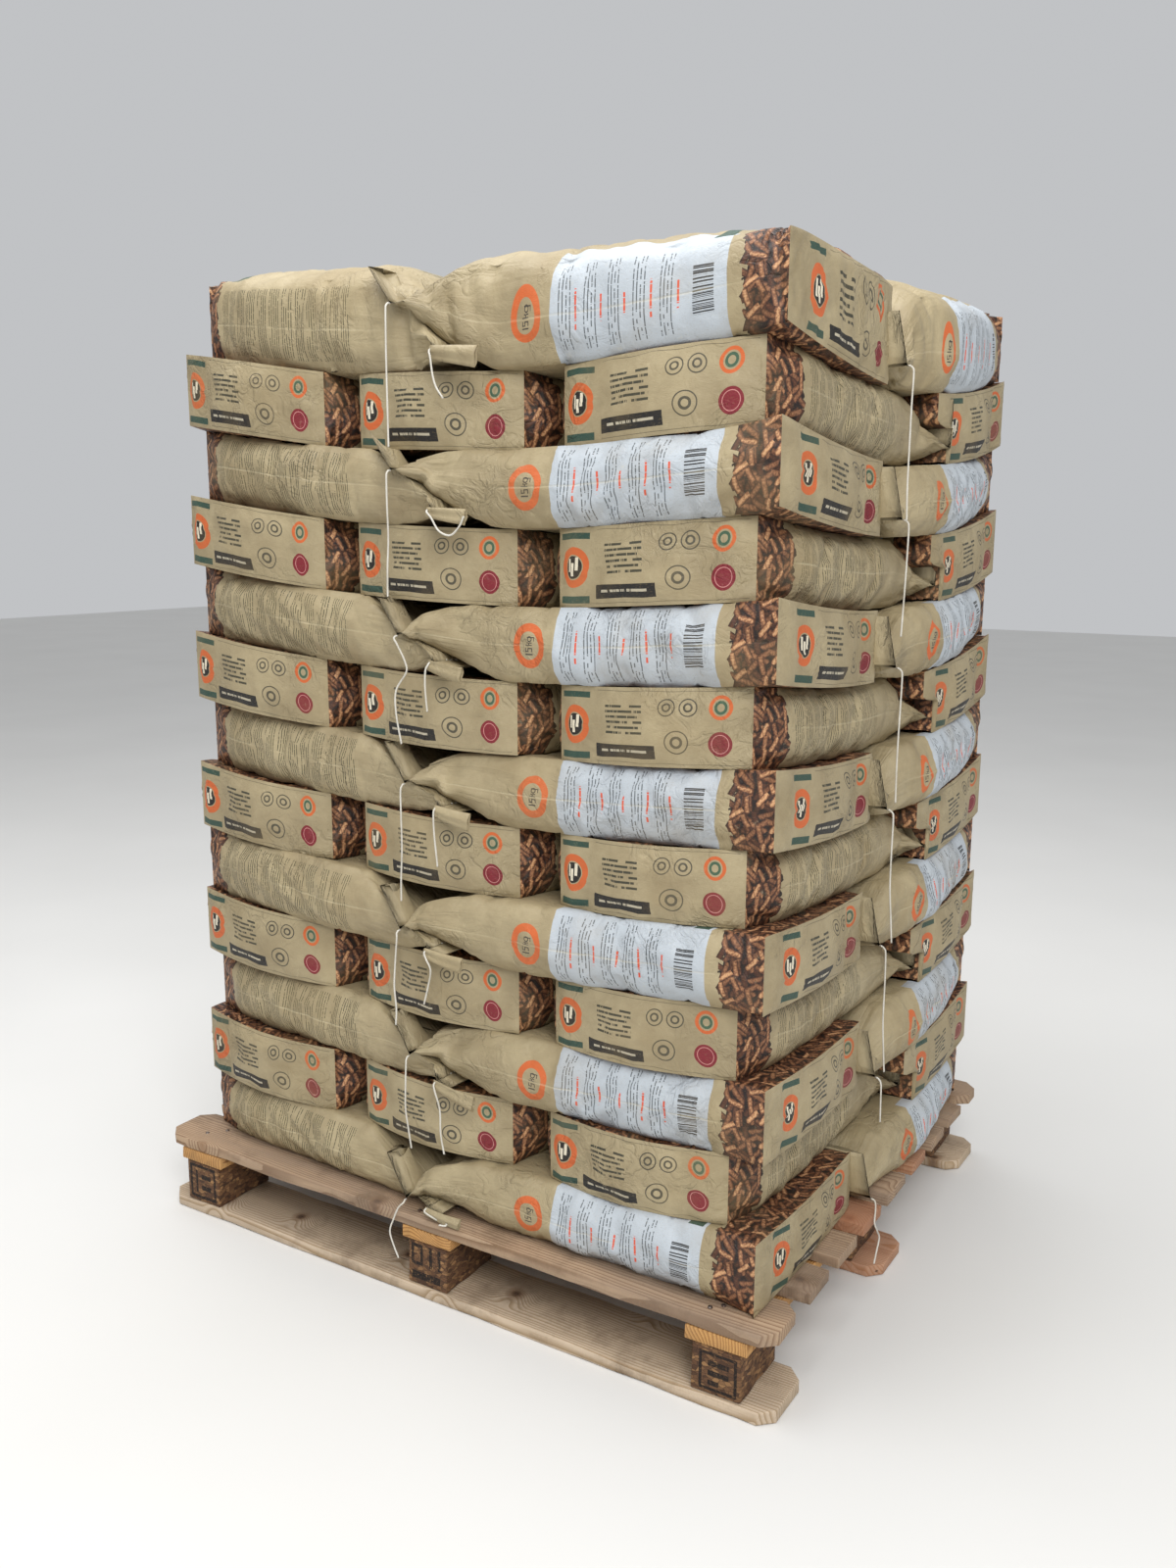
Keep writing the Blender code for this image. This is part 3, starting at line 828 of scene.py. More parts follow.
def shaped_points(form, number, which, seed):
    """The form's points with the ripples, the block end and the belly of this one sack."""
    cube = form["cube"]
    points = chosen_points(form, seed % 2, (seed // 2) % 2 and number != LAYERS)
    t = body_share(cube)
    sides = np.sign(cube[:, 1]) * (np.abs(cube[:, 1]) > ON_FACE) * ease((1 - t) * 8) * ease(t * 12)
    points[:, 1] += ripples(points, seed, 0.09, 0.24) * SACK_RIPPLE * sides
    if has_broad_end(number, which):
        square_end(points, cube, t)
    if number % 2 and which == 4:
        belly = np.sin(math.pi * t) ** 1.2 * ease(0.5 - spread(cube[:, 1]))
        points[:, 1] -= RIGHT_BELLY * belly
    return points


def laid_points(points, cube, number, which):
    """Where the points of one sack lie, pressed between the levels and against its neighbours."""
    places = sack_places(number)
    place, length, seam_share = places[which]
    way = way_of(number)
    full = thickness_share(body_share(cube))
    share = share_of(points, cube, full, seam_share, which)
    along = np.minimum(points[:, 0], SACK_LENGTH)
    ratio = (length - PRINT_END) / (SACK_LENGTH - PRINT_END)
    along = np.where(along < PRINT_END, along, PRINT_END + (along - PRINT_END) * ratio)
    x, y = drawn_back(*place, along, points[:, 1])
    if which < 2:
        share = part_long_sacks(which, way * x, share, places[0][2])
        under = ROW_END_Y - places[2][1] - 0.001
        limit = blend(under, LONG_INNER_Y, ease((share - 0.5) / 0.1))
        y = way * np.minimum(way * y, np.maximum(limit, -0.20))
    else:
        x = between_neighbours(x, [other[0][0] for other in places[2:]], which - 2)
        share = np.where(way * y < LONG_INNER_Y, np.minimum(share, TUCK_SHARE), share)
    hem = np.maximum(points[:, 0] - SACK_LENGTH, 0)
    lift, reach, shift = hem_pose(number, which, spread(cube[:, 1]), cube[:, 2], hem)
    x, y = drawn_back(x, y, place[2], reach, shift)
    held = (hem == 0) | (which != 0) | (way * y >= FREE_EDGE_Y)
    return x, y, height_of(number, cube, x, y, share, lift, full, hem, held)


def height_of(number, cube, x, y, share, lift, full, hem, held):
    """Height of each point. The hem may hang below its layer, and rise past it where not held."""
    low = level(number - 1, x, y) + TOUCH_GAP / 2
    high = level(number, x, y) - TOUCH_GAP / 2
    z = low + share * (high - low) + lift
    if number == LAYERS:
        z += ease(share * 2 - 0.8) * full * top_swell(body_share(cube), spread(cube[:, 1]), x, y)
    else:
        z = np.where(held, np.minimum(z, high), z)
    return np.where(hem > 0, z, np.maximum(z, low))


def lay_sack(name, form, number, which, materials, stitching):
    """One sack of a layer, with its seam."""
    cube = form["cube"]
    seed = number * 5 + which
    x, y, z = laid_points(shaped_points(form, number, which, seed), cube, number, which)
    mesh = form["mesh"].copy()
    mesh.name = name
    mesh.vertices.foreach_set("co", np.stack([x, y, z], 1).ravel())
    mark(mesh, "sack_number", seed * SACK_STEP)
    if has_broad_end(number, which):
        shift_end_print(mesh)
    if number == LAYERS:
        stretch_side_print(mesh)
    for material in materials:
        mesh.materials.append(material)
    mesh.update()
    obj = show(name, mesh, None, [f"sack_layer_{number:02d}"], smooth=False)

    seam = np.nonzero((np.abs(grid_row(cube[:, 0]) - BODY_ROWS) < 0.1) & (cube[:, 2] > 0))[0]
    seam = seam[np.argsort(cube[seam, 1])]
    line = [Vector((x[i], y[i], z[i])) for i in seam]
    heading = sack_places(number)[which][0][2]
    back = Vector((-math.cos(heading), -math.sin(heading), 0.0))
    sew_seam(name.replace("sack", "stitches"), line, back, *stitching)


def share_of(points, cube, full, seam_share, which):
    """Height of each point as a share of its layer: flat seam, full body, and the wedge between."""
    top = seam_share + (1 - seam_share) * (full ** 0.5 if which < 2 else full)
    bottom = seam_share * (1 - full)
    c = cube[:, 2]
    high = np.maximum(SACK_THICKNESS / 2 * full, HEM_HALF)
    crumpled = (points[:, 2] - c * high) / SACK_THICKNESS
    thin = HEM_HALF / SACK_THICKNESS * c * (1 - full)
    return bottom + (top - bottom) * (0.5 + c / 2) + crumpled + thin


def between_neighbours(x, middles, own):
    """Presses a sack of the row flat where it meets the next one."""
    for other in (own - 1, own + 1):
        if 0 <= other < len(middles):
            line = (middles[own] + middles[other]) / 2
            if middles[other] > middles[own]:
                x = np.minimum(x, line - GRIP_GAP)
            else:
                x = np.maximum(x, line + GRIP_GAP)
    return x


def part_long_sacks(which, x, share, right_seam):
    """Keeps the two sewn ends that overlap in the middle apart, one above the other."""
    line = np.interp(x, (-0.20, SEAM_OVERLAP[0], SEAM_OVERLAP[1], 0.20),
                     (1.3, right_seam, 0.24, -0.4))
    if which == 0:
        return np.maximum(share, np.minimum(line + SEAM_GAP_SHARE, 0.95))
    return np.minimum(share, np.maximum(line - SEAM_GAP_SHARE, 0.05))


def hem_pose(number, which, b, c, hem):
    """How far the paper behind the seam rises, reaches on, and shifts across.

    Its two sheets stay apart at right angles to the way they lie, and gape a little at the end.
    """
    if which == 1:
        return -0.1 * hem, 0.3 * hem, 0.0 * hem
    start, span = (0.74, 0.16) if which < 2 else (0.40, 0.25)
    outer = ease((np.abs(b) - start) / span)
    shown = hem if number == LAYERS else hem * (0.25 + 0.75 * outer)
    apart = c * (HEM_HALF * ease(hem / 0.003) + 0.05 * hem * outer)
    if which == 0:
        angle = np.radians(blend(*FRONT_HEM_ANGLES, outer))
        turn = EAR_TURN * hem * np.clip((np.abs(b) - 0.70) / 0.30, 0, 1)
        reach = EAR_SHARE * shown * np.cos(angle) - apart * np.sin(angle) + turn
        return EAR_SHARE * shown * np.sin(angle), reach, -np.sign(b) * turn * 0.5
    angle = math.radians(ROW_HEM_ANGLE)
    lean = ROW_HEM_LEAN if number % 2 else 0.0
    reach = shown * math.cos(angle) - apart * math.sin(angle)
    return shown * math.sin(angle), reach, -np.sign(b) * outer * shown * lean


def tab_shape(number):
    """A flat tube of paper that is closed at the seam, and opens and droops towards its mouth."""
    bm = grid_cube(1.0, (0, 13), (2, 6))
    mouth = [face for face in bm.faces if face.calc_center_median().x > 0.499]
    bmesh.ops.delete(bm, geom=mouth, context="FACES_ONLY")
    sheet = bm.loops.layers.uv.new("print")
    length, height, tilt = TAB_SHAPES[number]
    for vert in bm.verts:
        share, rise = vert.co.x + 0.5, vert.co.z
        vert.co.z = height * rise * (0.62 + 0.38 * share) + length * share * tilt
        vert.co.y *= blend(0.0015, 0.0065, share) * (1.05 - 3.2 * rise * rise)
        vert.co.y -= 0.003 * math.sin(3.0 * share) + 0.0015 * math.sin(9 * rise + number)
        vert.co.x = length * share + 0.004 * rise
    for face in bm.faces:
        face.smooth = True
        for loop in face.loops:
            loop[sheet].uv = (0.66 + loop.vert.co.x, 0.55 + loop.vert.co.z)
    return bm


def make_tabs(material):
    """The gusset paper of each left front sack, a flat tube that points along the seam."""
    for number in range(1, LAYERS + 1, 2):
        start = seam_corner(number, sack_places(number)[1], 1)
        bm = tab_shape(number)
        bmesh.ops.translate(bm, verts=bm.verts, vec=start + Vector((-0.004, -0.0035, -0.004)))
        bmesh.ops.recalc_face_normals(bm, faces=bm.faces)
        mesh = finished_mesh(bm, f"tab_{number:02d}")
        mark(mesh, "sack_number", number * TAB_STEP)
        obj = show(f"tab_{number:02d}", mesh, material)
        wall = obj.modifiers.new("paper", "SOLIDIFY")
        wall.thickness = TAB_PAPER
        wall.offset = 0.0


def sew_seam(name, line, back, profile, material):
    """Chain stitches along the seam, over and under the paper."""
    run = smooth_run([line[0]] + line[1:], STITCH_STEP)[1:-1]
    slant = (back * 0.7 + Vector((0.0, 0.0, 0.7))) * STITCH_RISE
    points = [spot + slant * (1 if index % 2 else -1) for index, spot in enumerate(run)]
    show(name, twisted_mesh(name, points, profile), material)


def make_sacks(materials, cotton):
    """Four forms of sack laid in turn in the layers, and a finer one for the top layer."""
    forms = [sack_form(f"paper_{index}", ACROSS_PARTS, PAPER_SEED + index, excess, FLAT_HOLD)
             for index, excess in enumerate(PAPER_EXCESS)]
    fine = sack_form("paper_top", TOP_ACROSS_PARTS, TOP_SEED, TOP_EXCESS, TOP_HOLD)
    profile = strand_profile(STITCH_OUTLINE)
    for number in range(1, LAYERS + 1):
        for which, word in enumerate(SACK_WORDS):
            form = fine if number == LAYERS else forms[(number * 3 + which * 2) % len(forms)]
            lay_sack(f"sack_{number:02d}_{word}", form, number, which, materials,
                     (profile, cotton))
    make_tabs(materials[0])
    bpy.data.objects.remove(profile)
    for form in forms + [fine]:
        bpy.data.meshes.remove(form["mesh"])


# Materials

def put(tree, kind, *values, out=0, **settings):
    """Adds one node. Values fill its sockets in order, as do settings with a capital letter."""
    node = tree.nodes.new("ShaderNode" + kind)
    for key, value in settings.items():
        if key[0].islower():
            setattr(node, key, value)
    sockets = [socket for socket in node.inputs if socket.enabled]
    given = [(socket, value) for socket, value in zip(sockets, values) if value is not None]
    for key, value in settings.items():
        if key[0].isupper():
            name = key.replace("_", " ")
            given.append((next(socket for socket in sockets if socket.name == name), value))
    for socket, value in given:
        if isinstance(value, bpy.types.NodeSocket):
            tree.links.new(value, socket)
        else:
            socket.default_value = value
    if isinstance(out, str):
        return node.outputs[out]
    shown = [socket for socket in node.outputs if socket.enabled]
    return shown[out] if shown else node


def new_material(name):
    """An empty material: (material, node tree)."""
    material = bpy.data.materials.new(name)
    material.use_nodes = True
    material.node_tree.nodes.clear()
    return material, material.node_tree


def finish_material(tree, colour, roughness, height, distance, **settings):
    """Surface of one shader, with the height as its relief."""
    bump = put(tree, "Bump", Distance=distance, Height=height)
    shader = put(tree, "BsdfPrincipled", Base_Color=colour, Roughness=roughness, Normal=bump,
                 **settings)
    put(tree, "OutputMaterial", shader)


def tint(tree, colour, mask, code):
    """One colour printed or rubbed over another where the mask is 1."""
    return put(tree, "Mix", mask, colour, srgb(code), data_type="RGBA")


def join(tree, operation, *values):
    """Several values worked into one: masks by MULTIPLY where all count, or by MAXIMUM."""
    result = values[0]
    for value in values[1:]:
        result = put(tree, "Math", result, value, operation=operation)
    return result


def bar(tree, along, up, box):
    """Printed rectangle: (left, right, bottom, top) in metres."""
    left, right, bottom, top = box
    wide = put(tree, "Math", along, (left + right) / 2, (right - left) / 2, operation="COMPARE")
    high = put(tree, "Math", up, (bottom + top) / 2, (top - bottom) / 2, operation="COMPARE")
    return join(tree, "MULTIPLY", wide, high)


def reach_from(tree, along, up, centre, stretch=1.0):
    """Distance from a point of the print. A stretch over 1 makes what is drawn taller."""
    right = put(tree, "Math", along, centre[0], operation="SUBTRACT")
    high = put(tree, "Math", up, centre[1], operation="SUBTRACT")
    high = put(tree, "Math", high, stretch, operation="DIVIDE")
    spot = put(tree, "CombineXYZ", right, high, 0.0)
    return put(tree, "VectorMath", spot, operation="LENGTH", out="Value")


def ring(tree, reach, inner, outer):
    """Printed ring round the point that the reach is measured from."""
    return put(tree, "Math", reach, (inner + outer) / 2, (outer - inner) / 2,
               operation="COMPARE")


def disc(tree, reach, radius):
    """Printed disc round the point that the reach is measured from."""
    return put(tree, "Math", reach, radius, operation="LESS_THAN")


def word_lines(tree, along, up, box, pitch, stroke, word, group=0):
    """Rows of greyed words that can't be read, in a box as of a bar.

    Pitch is the height from row to row, stroke that of a row, and word the usual length of a
    word, in metres. A group leaves out every so many rows.
    """
    rise = put(tree, "Math", up, box[2], operation="SUBTRACT")
    row = put(tree, "Math", rise, pitch, operation="DIVIDE")
    part = put(tree, "Math", row, operation="FRACT")
    number = put(tree, "Math", row, operation="FLOOR")
    line = put(tree, "Math", part, 0.5, stroke / pitch / 2, operation="COMPARE")
    steps = put(tree, "Math", along, 0.0009, operation="SNAP")
    spot = put(tree, "CombineXYZ", put(tree, "Math", steps, 1 / word, operation="MULTIPLY"),
               put(tree, "Math", number, 7.3, operation="MULTIPLY"), 0.0)
    words = put(tree, "TexNoise", spot, 1.0, 1.0, noise_dimensions="2D")
    words = put(tree, "Math", words, 0.37, operation="GREATER_THAN")
    letter = put(tree, "TexWhiteNoise", put(tree, "CombineXYZ", steps, number, 0.0),
                 noise_dimensions="2D")
    letter = put(tree, "Math", letter, 0.10, operation="GREATER_THAN")
    mask = join(tree, "MULTIPLY", line, words, letter, bar(tree, along, up, box))
    if group:
        turn = put(tree, "Math", number, float(group), operation="FLOORED_MODULO")
        mask = join(tree, "MULTIPLY", mask, put(tree, "Math", turn, 0.5, operation="GREATER_THAN"))
    return mask


def pellet_layer(tree, sheet, colour, shift, depth):
    """One layer of the printed wood pellets: short rounded rods lying all ways."""
    offset = (shift, shift * 1.7, 0.0)
    moved = put(tree, "VectorMath", sheet, offset, operation="ADD")
    cells = put(tree, "TexVoronoi", moved, voronoi_dimensions="2D", Scale=1 / PELLET_SPACING,
                Randomness=0.85, out="Color").node
    centre = put(tree, "VectorMath", cells.outputs["Position"], offset, operation="SUBTRACT")
    from_centre = put(tree, "VectorMath", sheet, centre, operation="SUBTRACT")
    chance = put(tree, "SeparateColor", cells.outputs["Color"])
    shade = chance.node.outputs[1]
    angle = put(tree, "MapRange", chance, 0.0, 1.0, -1.3, 1.3)
    turned = put(tree, "VectorRotate", from_centre, Angle=angle, rotation_type="Z_AXIS")
    reach = put(tree, "SeparateXYZ", turned)
    side = put(tree, "Math", reach, 1 / PELLET_RADIUS, operation="MULTIPLY")
    length = put(tree, "Math", reach.node.outputs[1], operation="ABSOLUTE")
    near_end = put(tree, "MapRange", length, PELLET_HALF - 0.004, PELLET_HALF, 0.0, 1.0)
    round_off = put(tree, "Math", put(tree, "Math", side, side, operation="MULTIPLY"),
                    put(tree, "Math", near_end, near_end, operation="MULTIPLY"), operation="ADD")
    place = put(tree, "SeparateXYZ", centre)
    mask = join(tree, "MULTIPLY", put(tree, "Math", round_off, 1.0, operation="LESS_THAN"),
                put(tree, "Math", place, PELLET_BAND, operation="LESS_THAN"))
    light = put(tree, "MapRange", round_off, 0.0, 1.0, 1.0, 0.0)
    rub = put(tree, "TexNoise", sheet, 330.0, 2.0, noise_dimensions="2D")
    light = join(tree, "MULTIPLY", light, put(tree, "MapRange", rub, 0.3, 0.7, 0.60, 1.15),
                 put(tree, "MapRange", shade, 0.0, 1.0, 0.55 * depth, 1.20 * depth))
    ramp = put(tree, "ValToRGB", light)
    stops = ramp.node.color_ramp.elements
    stops[0].color = srgb(PELLET_COLOURS[0])
    stops[1].color = srgb(PELLET_COLOURS[3])
    stops.new(0.30).color = srgb(PELLET_COLOURS[1])
    stops.new(0.72).color = srgb(PELLET_COLOURS[2])
    return put(tree, "Mix", mask, colour, ramp, data_type="RGBA")


def print_pellets(tree, along, around, colour):
    """Band of pellets round the block end. Its edge follows the rods, as a cut-out photo does."""
    sheet = put(tree, "CombineXYZ", along, around, 0.0)
    ragged = put(tree, "TexNoise", sheet, 70.0, 2.0, noise_dimensions="2D")
    ragged = put(tree, "MapRange", ragged, 0.3, 0.7, PELLET_BAND - 0.006, PELLET_BAND + 0.004)
    dark = put(tree, "Math", along, ragged, operation="LESS_THAN")
    printed = tint(tree, colour, dark, PELLET_GAP_COLOUR)
    for shift, depth in ((0.0, 0.34), (0.313, 0.62), (0.671, 1.0)):
        printed = pellet_layer(tree, sheet, printed, shift, depth)
    return printed


def print_label(tree, along, around, colour):
    """White panel on one side of the sack, with a block of stripes and columns of small print."""
    low, high = LABEL_AROUND
    panel = bar(tree, along, around, (*LABEL_ALONG, low, high))
    colour = tint(tree, colour, panel, LABEL_WHITE)
    stripes = put(tree, "TexNoise", put(tree, "Math", around, 900.0, operation="MULTIPLY"),
                  noise_dimensions="1D", Scale=0.55, Detail=0.0)
    stripes = put(tree, "Math", stripes, 0.5, operation="GREATER_THAN")
    middle = (low + high) / 2
    block = bar(tree, along, around, (0.105, 0.134, middle - 0.031, middle + 0.031))
    colour = tint(tree, colour, join(tree, "MULTIPLY", stripes, block), "#2E3033")
    for column in range(5):
        left = 0.152 + column * 0.037
        rows = (low + 0.016, high - 0.016, left + 0.009, left + 0.029)
        small = word_lines(tree, around, along, rows, 0.0050, 0.0017, 0.011)
        colour = tint(tree, colour, small, "#5E6468")
        half = 0.017 + 0.006 * math.sin(column * 2.0)
        head = word_lines(tree, around, along, (middle - half, middle + half, left, left + 0.005),
                          0.005, 0.0030, 0.009)
        colour = tint(tree, colour, head, "#D8563A")
    return colour


def print_label_edge(tree, along, around, colour):
    """Strips of the white panel that wrap onto the broad faces."""
    for line in LABEL_AROUND:
        near = put(tree, "Math", around, line, 0.0101, operation="COMPARE")
        strip = join(tree, "MULTIPLY", near, put(tree, "Math", along, sum(LABEL_ALONG) / 2,
                                     (LABEL_ALONG[1] - LABEL_ALONG[0]) / 2, operation="COMPARE"))
        colour = tint(tree, colour, strip, LABEL_WHITE)
    return colour


def print_weight(tree, along, around, colour):
    """Orange ring with the weight in plain figures, turned a quarter so that it reads upwards."""
    low, high = LABEL_AROUND
    centre = (RING_ALONG, (low + high) / 2)
    reach = reach_from(tree, along, around, centre, stretch=1.24)
    colour = tint(tree, colour, ring(tree, reach, 0.0165, 0.0262), ORANGE)
    right = put(tree, "Math", around, centre[1], operation="SUBTRACT")
    up = put(tree, "Math", along, centre[0], operation="SUBTRACT")
    strokes = [
        (-0.0135, -0.0115, -0.006, 0.006),
        (-0.0090, -0.0030, 0.0045, 0.006), (-0.0090, -0.0075, 0.0, 0.006),
        (-0.0090, -0.0030, 0.0, 0.0015), (-0.0045, -0.0030, -0.006, 0.0015),
        (-0.0090, -0.0030, -0.006, -0.0045),
        (0.0, 0.0014, -0.006, 0.006), (0.0014, 0.0042, -0.0016, 0.0),
        (0.0034, 0.0048, -0.006, -0.0016), (0.0034, 0.0048, 0.0, 0.0028),
        (0.0112, 0.0126, -0.0100, 0.0022), (0.0066, 0.0126, -0.0100, -0.0088),
    ]
    marks = [bar(tree, right, up, stroke) for stroke in strokes]
    bowl = reach_from(tree, right, up, (0.0095, -0.0020))
    marks.append(ring(tree, bowl, 0.0026, 0.0041))
    return tint(tree, colour, join(tree, "MAXIMUM", *marks), "#3A3530")


def print_text_side(tree, along, around, colour):
    """The other side: groups of thin lines of small print, turned along the side."""
    low = SHEET_AROUND - SACK_WIDTH / 2 - SACK_THICKNESS
    box = (low + 0.009, low + SACK_THICKNESS - 0.007, 0.078, 0.392)
    small = word_lines(tree, around, along, box, 0.0044, 0.0014, 0.030, group=6)
    return tint(tree, colour, small, "#4A4830")


def print_front(tree, along, around, colour):
    """Broad face: a green band, an orange disc in a pale ring, a dark bar and small print."""
    middle = SACK_WIDTH + SACK_THICKNESS
    half = SACK_WIDTH / 2
    band = bar(tree, along, around, (0.092, 0.116, middle - half, middle + half))
    colour = tint(tree, colour, band, GREEN)
    reach = reach_from(tree, along, around, (0.212, middle))
    colour = tint(tree, colour, disc(tree, reach, 0.066), ORANGE)
    colour = tint(tree, colour, ring(tree, reach, 0.050, 0.054), "#C9BB95")
    for place, lean in ((-0.018, 0.010), (0.0, -0.004), (0.018, 0.006)):
        rod = bar(tree, along, around, (0.186 + lean, 0.232 + lean, middle + place - 0.006,
                                        middle + place + 0.006))
        colour = tint(tree, colour, rod, "#E9D9B4")
    dark = bar(tree, along, around, (0.318, 0.336, middle - 0.090, middle + 0.090))
    colour = tint(tree, colour, dark, INK)
    small = word_lines(tree, around, along, (middle - 0.075, middle + 0.075, 0.362, 0.446),
                       0.0105, 0.0040, 0.016)
    return tint(tree, colour, small, "#4A4A36")


def print_block_end(tree, along, up, colour):
    """Block end: a disc with pale rods between two green bands, small print and plain rings."""
    right = put(tree, "Math", along, END_FIELD, operation="ADD")
    for low, high in ((0.0065, 0.0165), (0.0950, 0.1035)):
        colour = tint(tree, colour, bar(tree, right, up, (0.007, 0.054, low, high)), GREEN)
    badge = reach_from(tree, right, up, (0.031, 0.056), stretch=1.16)
    colour = tint(tree, colour, ring(tree, badge, 0.0150, 0.0240), ORANGE)
    colour = tint(tree, colour, disc(tree, badge, 0.0135), INK)
    for left, low in ((0.0225, 0.0500), (0.0285, 0.0440), (0.0345, 0.0520)):
        rod = bar(tree, right, up, (left, left + 0.0042, low, low + 0.018))
        colour = tint(tree, colour, rod, "#E6DCC4")
    small = word_lines(tree, right, up, (0.088, 0.148, 0.044, 0.088), 0.0074, 0.0034, 0.014)
    colour = tint(tree, colour, small, "#3C3A2C")
    colour = tint(tree, colour, bar(tree, right, up, (0.070, 0.168, 0.0120, 0.0310)), INK)
    inside = word_lines(tree, right, up, (0.082, 0.156, 0.0165, 0.0275), 0.0110, 0.0036, 0.007)
    colour = tint(tree, colour, inside, "#B9B09A")
    for x, y, radius in ((0.184, 0.084, 0.0125), (0.214, 0.084, 0.0125), (0.199, 0.036, 0.0165)):
        reach = reach_from(tree, right, up, (x, y))
        marks = join(tree, "MAXIMUM", ring(tree, reach, radius - 0.0018, radius),
                       ring(tree, reach, radius * 0.30, radius * 0.52))
        colour = tint(tree, colour, marks, "#4C4738")
    red = reach_from(tree, right, up, (0.258, 0.034))
    colour = tint(tree, colour, disc(tree, red, 0.0170), "#7A1826")
    colour = tint(tree, colour, ring(tree, red, 0.0120, 0.0130), "#C98A84")
    spot = reach_from(tree, right, up, (0.258, 0.084))
    colour = tint(tree, colour, ring(tree, spot, 0.0120, 0.0168), ORANGE)
    colour = tint(tree, colour, ring(tree, spot, 0.0055, 0.0095), "#3E5A44")
    for height in (0.0050, 0.1060):
        score = bar(tree, right, up, (0.070, 0.292, height, height + 0.0009))
        colour = tint(tree, colour, score, "#6E644C")
    return colour


def paper_base(name):
    """Brown kraft paper before its print: (material, tree, along, around, spot, colour)."""
    material, tree = new_material(name)
    sheet = put(tree, "UVMap", uv_map="print")
    along = put(tree, "SeparateXYZ", sheet)
    around = along.node.outputs[1]
    own = put(tree, "Attribute", attribute_name="sack_number", out="Fac")
    spot = put(tree, "CombineXYZ", along, around, own)
    cloudy = put(tree, "TexNoise", spot, 11.0, 4.0, 0.65)
    cloudy = put(tree, "MapRange", cloudy, 0.3, 0.7, 0.0, 1.0)
    colour = put(tree, "Mix", cloudy, srgb(KRAFT[0]), srgb(KRAFT[1]), data_type="RGBA")
    return material, tree, along, around, spot, colour


def finish_paper(tree, along, around, spot, colour, crease_line=None):
    """Fibres, wear and dust over the print, and the crinkle and folds of handled paper."""
    fibre = put(tree, "TexNoise", put(tree, "VectorMath", spot, (260.0, 900.0, 40.0),
                                      operation="MULTIPLY"), 1.0, 2.0, 0.6)
    colour = tint(tree, colour, put(tree, "MapRange", fibre, 0.56, 0.78, 0.0, 0.40), "#8A7549")
    worn = put(tree, "TexNoise", spot, 60.0, 5.0, 0.7)
    colour = tint(tree, colour, put(tree, "MapRange", worn, 0.62, 0.80, 0.0, 0.35), "#D8CAA4")
    dust = put(tree, "TexNoise", spot, 7.0, 4.0, 0.6)
    colour = tint(tree, colour, put(tree, "MapRange", dust, 0.50, 0.75, 0.0, 0.35), "#8F7B55")

    height = join(tree, "ADD", paper_crinkle(tree, spot), gathered_pleats(tree, spot, along),
                  sharp_folds(tree, spot, along),
                  put(tree, "MapRange", fibre, 0.3, 0.7, 0.0, 0.06))
    if crease_line is not None:
        near = put(tree, "Math", around, crease_line, operation="SUBTRACT")
        near = put(tree, "MapRange", put(tree, "Math", near, operation="ABSOLUTE"),
                   0.0, 0.0022, 1.0, 0.0)
        near = join(tree, "MULTIPLY", near, put(tree, "MapRange", dust, 0.35, 0.65, 0.1, 1.0))
        past_band = put(tree, "MapRange", along, PELLET_BAND, PELLET_BAND + 0.02, 0.0, 1.0)
        height = join(tree, "ADD", height, join(tree, "MULTIPLY", near, 0.35))
        colour = tint(tree, colour, join(tree, "MULTIPLY", near, past_band, 0.35), "#DCCFAB")
    roughness = put(tree, "MapRange", dust, 0.3, 0.7, 0.50, 0.66)
    finish_material(tree, colour, roughness, height, 0.0024, IOR=1.5)


def paper_crinkle(tree, spot):
    """Soft dents all over, with sharp ridges where the paper has been handled more."""
    crinkle = put(tree, "TexNoise", spot, 34.0, 5.0, 0.55, Distortion=0.9)
    ridges = put(tree, "Math", put(tree, "Math", crinkle, 0.5, operation="SUBTRACT"),
                 operation="ABSOLUTE")
    ridges = put(tree, "MapRange", ridges, 0.0, 0.10, 0.6, 0.0)
    patches = put(tree, "TexNoise", spot, 8.0, 2.0)
    patches = put(tree, "MapRange", patches, 0.45, 0.62, 0.0, 1.0)
    return join(tree, "ADD", crinkle, join(tree, "MULTIPLY", ridges, patches))


def gathered_pleats(tree, spot, along):
    """Long pleats that deepen towards the seam."""
    pleat_spot = put(tree, "VectorMath", spot, (4.0, 34.0, 3.0), operation="MULTIPLY")
    pleats = put(tree, "TexNoise", pleat_spot, 1.0, 3.0, 0.55, Distortion=0.7)
    gathered = put(tree, "MapRange", along, 0.34, 0.60, 0.35, 4.2)
    return join(tree, "MULTIPLY", pleats, gathered, behind_seam(tree, along, 0.1))


def sharp_folds(tree, spot, along):
    """Flat facets with straight sharp creases between them, most of all by the sewn end."""
    bent = put(tree, "VectorMath", spot, (9.0, 15.0, 5.0), operation="MULTIPLY")
    facets = put(tree, "TexVoronoi", bent, Scale=1.0, Randomness=1.0, out="Distance")
    near_seam = put(tree, "MapRange", along, 0.34, 0.52, 0.5, 6.0)
    return join(tree, "MULTIPLY", facets, near_seam, behind_seam(tree, along, 0.3))


def behind_seam(tree, along, share):
    """1 on the body of the sack, and the share on the smoother hem."""
    return put(tree, "MapRange", along, SACK_LENGTH, SACK_LENGTH + 0.004, 1.0, share)


def kraft_block_end():
    """Kraft paper of the block end, with its print."""
    material, tree, along, around, spot, colour = paper_base("kraft_block_end")
    colour = print_block_end(tree, along, around, colour)
    finish_paper(tree, along, around, spot, colour)
    return material


